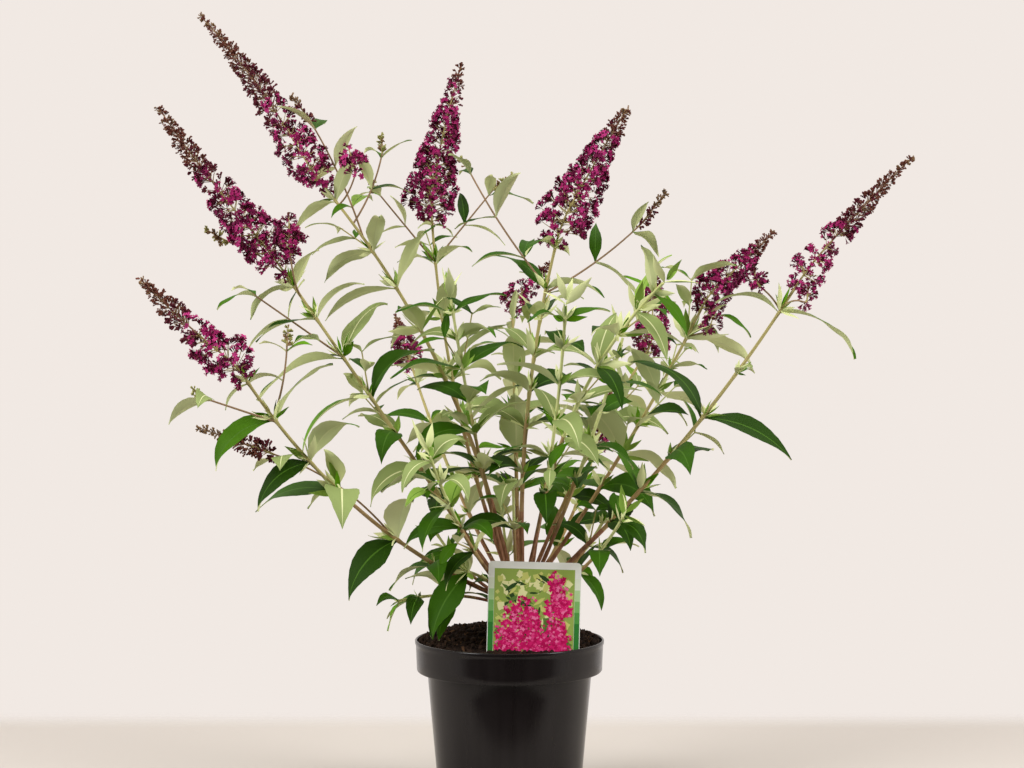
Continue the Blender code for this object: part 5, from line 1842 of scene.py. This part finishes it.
@dataclass
class Foliage:
    """The leaves: one fine blade for each leaf of the growth, and tufts of young leaves in the axils."""

    growth: Growth
    thick: float = 0.0004
    rib: float = 0.055
    tops: tuple[Finish, ...] = (Tint.LEAF_DEEP.value, Tint.LEAF_DARK.value, Tint.LEAF_MID.value,
                                Tint.LEAF_FRESH.value, Tint.LEAF_YOUNG.value, Tint.LEAF_FELT.value)
    felted: tuple[float, float, float] = (0.405, 0.11, 0.62)
    unders: tuple[Finish, ...] = (Tint.UNDER_SAGE.value, Tint.UNDER_GREY.value, Tint.UNDER_WARM.value)

    def half_width(self, share: float) -> float:
        """Half of a blade's width as a share of its full width: a short stalk, a wedge, and a long point."""
        if share < 0.035:
            return 0.045
        if share < 0.38:
            return 0.045 + 0.455 * math.sin(math.pi / 2 * (share - 0.035) / 0.345) ** 1.15
        return 0.5 * math.cos(math.pi / 2 * ((share - 0.38) / 0.62) ** 1.05) ** 1.2

    def blade(self, leaf: Leaf, rng: random.Random) -> tuple[Shape, list[Finish]]:
        """A leaf's two-sided blade: veined, toothed, folded along its midrib and a little wavy.

        Args:
            leaf: The leaf as it grew.
            rng: The dice.

        Returns:
            The skin, and a finish for each face.
        """
        count = 18 if leaf.length > 0.055 else 12 if leaf.length > 0.035 else 8
        columns = (-1.0, -0.62, -self.rib, self.rib, 0.62, 1.0)
        line = leaf_line(leaf.line.points[0], leaf.way, leaf.length, leaf.droop, count)
        fold = rng.uniform(-0.06, 0.34)
        wave, phase = rng.uniform(0.0, 0.028) * leaf.length, rng.uniform(0, 6.3)
        twist = math.radians(rng.uniform(-22, 22))
        quilt = 0.0034 * leaf.length
        points, top, under = [], [], []
        before = UP
        for j in range(count + 1):
            share = j / count
            centre, way, _ = line.at(share)
            across = Quaternion(way, twist * share) @ leaf.across
            across = (across - way * across.dot(way)).normalized()
            above = across.cross(way).normalized()
            above = above if above.dot(before) > 0 else -above
            before = above
            slant = 0.055 * math.sin(math.pi * share)
            tooth = 1 + (0.022 if j % 2 else -0.015) * (0 < share < 1)
            for sheet in (top, under):
                row = []
                for u in columns:
                    out = abs(u)
                    half = leaf.width * self.half_width(min(1.0, share + slant * out)) * (1 if share < 1 else 0.02)
                    half *= tooth if out == 1.0 else 1.0
                    lift = fold * out * half + wave * out * out * math.sin(9.5 * share + phase + (1.3 if u > 0 else 0))
                    lift += quilt * (0.5 if j % 2 else -0.5) * out * (1 - out) * 4 * (1 - share)
                    if sheet is under and out < 1.0:
                        lift -= self.thick * (2.2 if out == self.rib else 1.0)
                    if sheet is under and out == 1.0:
                        row.append(top[j][0 if u < 0 else -1])
                        continue
                    points.append(centre + across * (u * half) + way * (slant * out * leaf.length) + above * lift)
                    row.append(len(points) - 1)
                sheet.append(row)
        root = leaf.line.points[0]
        # Tops are dealt darker tints near the bush's axis, and young greens less often there: painted shade of the
        # inner leaves. Short and high leaves take young greens more often.
        outer = min(1.0, math.hypot(root.x, root.y) / 0.20)
        young = 0.10 + 0.5 * max(0.0, 0.055 - leaf.length) / 0.03 + 0.3 * (root.z - 0.45)
        roll = rng.random() * (0.56 + 0.40 * outer) + (0.50 if rng.random() < young * (0.4 + 0.6 * outer) else 0.0)
        finish, rib_top = self.tops[min(4, int(roll * 3.3))], Tint.RIB_TOP.value
        height, reach, share_felted = self.felted
        if rng.random() < share_felted * max(0.0, 1 - abs(root.z - height) / reach):
            finish, rib_top = self.tops[5], Tint.RIB_UNDER.value
        back = self.unders[min(2, int(rng.random() * 3))]
        faces, finishes = [], []
        wide = len(columns) - 1
        for j in range(count):
            for k in range(wide):
                middle = k == wide // 2
                faces.append((top[j][k], top[j][k + 1], top[j + 1][k + 1], top[j + 1][k]))
                finishes.append(rib_top if middle and share > 0 else finish)
                faces.append((under[j][k], under[j + 1][k], under[j + 1][k + 1], under[j][k + 1]))
                finishes.append(Tint.RIB_UNDER.value if middle else back)
        for j, order in ((0, 1), (count, -1)):
            loop = top[j] + under[j][-2:0:-1]
            faces.append(tuple(loop[::order]))
            finishes.append(back)
        return (points, faces), finishes

    def build(self, tree: SprayTree, masses: list[str]) -> None:
        """Makes the leaves in pieces by the side of the plant they grow on, and the tufts.

        Args:
            tree: The tree that deals out the tufts' leaves.
            masses: The solids that the leaves stand for, with the stems and flowers.
        """
        rng = random.Random(SEED + 7)
        finishes = [*self.tops, *self.unders, Tint.RIB_TOP.value, Tint.RIB_UNDER.value]
        sides = {"left": Skin(finishes), "middle": Skin(finishes), "right": Skin(finishes)}
        for leaf in self.growth.leaves:
            shape, picks = self.blade(leaf, rng)
            x = leaf.line.points[0].x
            side = "left" if x < -0.055 else "right" if x > 0.075 else "middle"
            sides[side].add_mixed(shape, picks)
        for side, skin in sides.items():
            settle(skin.make("leaves_" + side, 75), masses)
        settle(self.tufts(tree, rng), masses)

    def tufts(self, tree: SprayTree, rng: random.Random) -> bpy.types.Object:
        """Tufts of small young leaves in the axils along every cane, and at leafy tips.

        Args:
            tree: The tree that deals out the leaves.
            rng: The dice.

        Returns:
            The piece.
        """
        small = template("young_leaf", *self.young_leaf())
        sprays: list[list[tuple]] = [[], [], []]
        for cane in CANES:
            limb = self.growth.canes[cane.name]
            for share, turn, length in cane.knots:
                root, along, radius = limb.at(share)
                if root.z < 0.2 or share > 0.985:
                    continue
                for way in self.growth.pair(limb, share, turn, rng):
                    self.tuft(sprays[rng.randrange(3)], root, (way * 0.5 + along).normalized(), radius,
                              length * rng.uniform(0.16, 0.42), rng)
            if not cane.spike and cane.bare:
                tip, along, radius = limb.at(1.0)
                self.tuft(sprays[2], tip, along, radius, 0.034, rng)
        pairs = ((Tint.LEAF_YOUNG.value, Tint.UNDER_WARM.value), (Tint.LEAF_FRESH.value, Tint.UNDER_SAGE.value),
                 (Tint.LEAF_YOUNG.value, Tint.UNDER_SAGE.value))
        grown = [tree.grow(Spray(places, small, *pair, 0.15)) for places, pair in zip(sprays, pairs)]
        return join("young_leaves", grown)

    @staticmethod
    def tuft(places: list[tuple], root: Vector, way: Vector, radius: float, size: float,
             rng: random.Random) -> None:
        """Adds the leaves of one tuft: two pairs at right angles, the inner one shorter and steeper.

        Args:
            places: The spray to add to.
            root: Where it grows.
            way: The direction that it grows in.
            radius: The radius of its stem.
            size: The length of its outer leaves.
            rng: The dice.
        """
        start = root + way * radius
        first = way.cross(Vector((0.2, 0.3, 0.9))).normalized()
        turn = rng.uniform(0, math.pi)
        for level, (spread, scale) in enumerate(((0.85, 1.0), (0.4, 0.7))):
            for side in (0, math.pi):
                out = Quaternion(way, turn + side + level * math.pi / 2) @ first
                lean = (way * (1 - 0.45 * spread) + out * spread * rng.uniform(0.7, 1.2)).normalized()
                places.append((start + way * size * 0.12 * level, lean, rng.uniform(0, 6.3), size * scale))

    def young_leaf(self) -> tuple[Shape, list[bool]]:
        """A small arching leaf, one unit long, along +Z.

        Returns:
            The skin, and for each face whether it is the underside.
        """
        count, points, top, under = 5, [], [], []
        for j in range(count + 1):
            share = j / count
            half = 0.25 * self.half_width(share) * 1.15 if share < 1 else 0.004
            bend = 0.30 * share * share
            for sheet, drop in ((top, 0.0), (under, -0.012)):
                row = []
                for u in (-1.0, 0.0, 1.0):
                    if sheet is under and u:
                        row.append(top[j][0 if u < 0 else 2])
                        continue
                    points.append(Vector((u * half, bend + abs(u) * half * 0.35 + drop, share)))
                    row.append(len(points) - 1)
                sheet.append(row)
        faces, backs = [], []
        for j in range(count):
            for k in range(2):
                faces.append((top[j][k], top[j][k + 1], top[j + 1][k + 1], top[j + 1][k]))
                faces.append((under[j][k], under[j + 1][k], under[j + 1][k + 1], under[j][k + 1]))
                backs += [False, True]
        for j in (0, count):
            faces.append((top[j][0], top[j][1], top[j][2], under[j][1]))
            backs.append(True)
        return (points, faces), backs


@dataclass
class Blossom:
    """The flower spikes: whorls of small branching clusters, open below, in bud above."""

    growth: Growth
    open_whorl: float = 0.0086
    bud_whorl: float = 0.0058
    cluster: float = 0.0110
    tube: float = 0.0062
    lobe: float = 0.00230
    bud_length: float = 0.0064
    loose: dict[str, float] = field(default_factory=lambda: {
        "far_right": 1.75, "top_left": 1.65, "left": 1.32, "low_left": 1.4, "right": 1.15, "right_back": 1.2, "centre": 1.1})
    open_share: dict[str, float] = field(default_factory=lambda: {
        "top_left": 0.38, "left": 0.50, "low_left": 0.46, "centre_left": 0.78, "centre": 0.70, "right_back": 0.55,
        "right": 0.58, "far_right": 0.36, "back": 0.5, "back_left": 0.5, "back_right": 0.5})

    def floret(self) -> tuple[Shape, list[bool]]:
        """An open floret along +Z: a slim tube and a star of four blunt lobes.

        Returns:
            The skin, and for each face whether it is the tube.
        """
        mouth = [Vector((0.0008 * math.cos(a), 0.0008 * math.sin(a), self.tube))
                 for a in (math.pi * i / 6 + 0.4 for i in range(12))]
        star = []
        for k in range(4):
            for turn, reach, z in ((-0.40, self.lobe, 0.0007), (0.40, self.lobe, 0.0007), (0.785, 0.0009, 0.0002)):
                a = math.pi / 2 * k + turn + 0.4 + math.pi / 6
                star.append(Vector((reach * math.cos(a), reach * math.sin(a), self.tube + z)))
        rows = [[Vector((0.0, 0.0, 0.0))], mouth, star, [Vector((0.0, 0.0, self.tube - 0.0002))]]
        shape = loft(rows)
        return shape, [len(face) == 3 and 0 in face for face in shape[1]]

    def bud(self) -> tuple[Shape, list[bool]]:
        """A closed bud along +Z: a slim tube with a rounded head."""
        rows = [[Vector((0.0, 0.0, 0.0))]]
        for z, radius in ((0.12, 0.00055), (0.62, 0.00085), (0.84, 0.00122)):
            rows.append([Vector((radius * math.cos(a), radius * math.sin(a), z * self.bud_length))
                         for a in (0.0, 1.57, 3.14, 4.71)])
        rows.append([Vector((0.0, 0.0, self.bud_length))])
        shape = loft(rows)
        return shape, [0 in face for face in shape[1]]

    def build(self, tree: SprayTree, masses: list[str]) -> None:
        """Makes the stalks, the open florets and the buds.

        Args:
            tree: The tree that deals out florets and buds.
            masses: The solids that the blossom stands for, with the stems and leaves.
        """
        rng = random.Random(SEED + 11)
        stalks = Skin([Tint.OLIVE.value, Tint.PURPLE_STEM.value])
        kinds = (Tint.PETAL, Tint.PETAL_BRIGHT, Tint.PETAL_DEEP, Tint.BUD_PURPLE, Tint.BUD_BROWN, Tint.BUD_OLIVE,
                 Tint.BUD_GREEN)
        sprays: dict[Tint, list[tuple]] = {kind: [] for kind in kinds}
        for spike, line, cane in self.growth.spikes:
            self.grow(spike, line, cane, stalks, sprays, rng)
        floret = template("floret", *self.floret())
        bud = template("bud", *self.bud())
        opened, closed = [], []
        for kind, places in sprays.items():
            is_open = kind in kinds[:3]
            second = Tint.TUBE.value if is_open else Tint.PURPLE_STEM.value
            made = tree.grow(Spray(places, floret if is_open else bud, kind.value, second, 0.12))
            (opened if is_open else closed).append(made)
        settle(join("open_florets", opened), masses)
        settle(join("flower_buds", closed), masses)
        settle(stalks.make("flower_stalks", 50), masses)

    def grow(self, spike: Spike, line: Limb, cane: str, stalks: Skin, sprays: dict[Tint, list[tuple]],
             rng: random.Random) -> None:
        """One spike: its axis and its whorls of clusters.

        Args:
            spike: The spike's sizes.
            line: The line that it follows.
            cane: The name of its cane.
            stalks: The skin of all stalks.
            sprays: The places of florets and buds, by tint.
            rng: The dice.
        """
        green = spike.width < 0.017 and spike.length < 0.03
        bud_only = spike.width < 0.024
        opening = 0.0 if bud_only else self.open_share[cane] if spike.length > 0.06 else 0.9
        axis = Limb(line.points, 0.0011, 0.0006)
        steps = max(4, round(line.length / 0.006))
        stalks.add(loft(axis.rows(0.0, max(0.3, opening), steps, 5)), Tint.OLIVE.value)
        stalks.add(loft(axis.rows(max(0.3, opening), 1.0, steps, 5)), Tint.PURPLE_STEM.value)
        along, k = 0.0, 0
        while along < line.length:
            share = along / line.length
            centre, way, _ = line.at(share)
            half = spike.width / 2 * spike_swell(share)
            crowd = self.cluster * (1.0 if share < opening else 0.8)
            clusters = max(3, round(2 * math.pi * half / crowd))
            first = Quaternion(way, 2.4 * k) @ way.cross(Vector((0.31, 0.87, 0.38))).normalized()
            for i in range(clusters):
                if rng.random() < (0.20 if share < opening else 0.02):
                    continue
                out = Quaternion(way, 2 * math.pi * i / clusters + rng.uniform(-0.35, 0.35)) @ first
                kind = self.kind(share, opening, green, bud_only, rng)
                root = line.at(max(0.0, share + rng.uniform(-0.002, 0.002) / line.length))[0]
                self.grow_cluster(root, way, out, half, share, kind, stalks, sprays, rng)
            loose = self.loose.get(cane, 1.0) if share < opening and spike.length > 0.06 else 1.0
            spacing = self.open_whorl if share < opening else self.bud_whorl * (1.10 - 0.50 * share)
            along += spacing * loose * rng.uniform(0.85, 1.15)
            k += 1
        tip, way, _ = line.at(1.0)
        last = Tint.BUD_GREEN if green else Tint.BUD_OLIVE if bud_only else Tint.BUD_BROWN
        for i in range(6):
            side = Quaternion(way, 1.05 * i) @ way.cross(Vector((0.31, 0.87, 0.38))).normalized()
            sprays[last].append((tip - way * 0.004, (way + side * 0.28).normalized(), 0.5 * i, 0.62))

    def grow_cluster(self, root: Vector, way: Vector, out: Vector, half: float, share: float, kind: Tint,
                     stalks: Skin, sprays: dict[Tint, list[tuple]], rng: random.Random) -> None:
        """One cluster: a short stalk that forks, and florets or buds that fan out from each fork.

        Args:
            root: Where it leaves the spike's axis.
            way: The axis' direction there.
            out: The direction away from the axis.
            half: The spike's half width there.
            share: Where on the spike it is.
            kind: Its tint.
            stalks: The skin of all stalks.
            sprays: The places of florets and buds, by tint.
            rng: The dice.
        """
        is_open = kind in (Tint.PETAL, Tint.PETAL_BRIGHT, Tint.PETAL_DEEP)
        climb = math.radians(rng.uniform(5, 38) if is_open else rng.uniform(22, 46))
        lean = (out * math.cos(climb) + way * math.sin(climb)).normalized()
        size = rng.uniform(0.88, 1.08) * (1.0 if is_open else 1.0 - 0.38 * share)
        length = (self.tube if is_open else self.bud_length) * size
        reach = max(0.0010, half * (rng.uniform(0.78, 1.12) if is_open else rng.uniform(0.9, 1.2)) - length * 0.8)
        node = root + lean * reach
        if reach > 0.002:
            stem = Limb([root, node], 0.00050, 0.00034)
            stalks.add(loft(stem.rows(0.0, 1.0, 1, 3)), stalks.finishes[0 if is_open else 1])
        forks = (4 if half > 0.011 else 3) if is_open else 2 if half > 0.005 else 1
        for _ in range(forks):
            tilt = Vector((rng.gauss(0, 1), rng.gauss(0, 1), rng.gauss(0, 1)))
            tilt = (tilt - lean * tilt.dot(lean)) * 0.36
            face = (lean + tilt).normalized()
            fork = node + tilt * (0.0036 if forks > 1 else 0.0)
            for _ in range(3 if forks > 1 else 5):
                swing = Vector((rng.gauss(0, 1), rng.gauss(0, 1), rng.gauss(0, 1))) * (0.40 if is_open else 0.32)
                chosen = Tint.BUD_PURPLE if is_open and rng.random() < 0.16 else kind
                sprays[chosen].append((fork + swing * 0.0006, (face + swing).normalized(), rng.uniform(0, 6.3),
                                       size * rng.uniform(0.82, 1.12)))

    @staticmethod
    def kind(share: float, opening: float, green: bool, bud_only: bool, rng: random.Random) -> Tint:
        """The tint of one cluster.

        Args:
            share: Where on the spike it is.
            opening: Up to which share the spike's florets are open.
            green: Whether the spike is a very young one.
            bud_only: Whether the spike has no open florets.
            rng: The dice.

        Returns:
            The tint.
        """
        if green:
            return Tint.BUD_GREEN if rng.random() < 0.7 else Tint.BUD_OLIVE
        if bud_only:
            return Tint.BUD_OLIVE if share > 0.5 else Tint.BUD_BROWN if rng.random() < 0.5 else Tint.BUD_PURPLE
        if share < opening + rng.uniform(-0.12, 0.12):
            return (Tint.PETAL, Tint.PETAL_BRIGHT, Tint.PETAL_DEEP, Tint.PETAL)[rng.randrange(4)]
        late = (share - opening) / max(0.05, 1 - opening) + rng.uniform(-0.2, 0.2)
        return Tint.BUD_PURPLE if late < 0.40 else Tint.BUD_BROWN if late < 0.92 else Tint.BUD_OLIVE


def main() -> None:
    """Builds everything round the frame, in order."""
    logging.basicConfig(level=logging.INFO, format="%(name)s %(message)s")
    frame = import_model()
    margin = 3 * LEAF_CLEARANCE
    growth = Growth(loft(pot_rows(POT_RIM_RADIUS + margin, POT_HEIGHT + margin)), label_shape(margin),
                    loft(crown_rows(CROWN_SIDES)))
    LOG.info("grown: %d leaves, %d spikes, %d shoots", len(growth.leaves), len(growth.spikes), len(growth.shoots))
    masses = sorted(name for name in frame["nodes"] if name.startswith(("foliage_", "flower_", "tip_")))
    boughs = sorted(name for name in frame["nodes"] if name.startswith("bough_")) + ["woody_crown"]
    Studio().build()
    tree = SprayTree()
    NurseryPot().build()
    Compost().build(tree)
    PictureLabel().build()
    Stems(growth).build(masses, boughs)
    Foliage(growth).build(tree, masses)
    Blossom(growth).build(tree, masses)


if __name__ == "__main__":
    main()
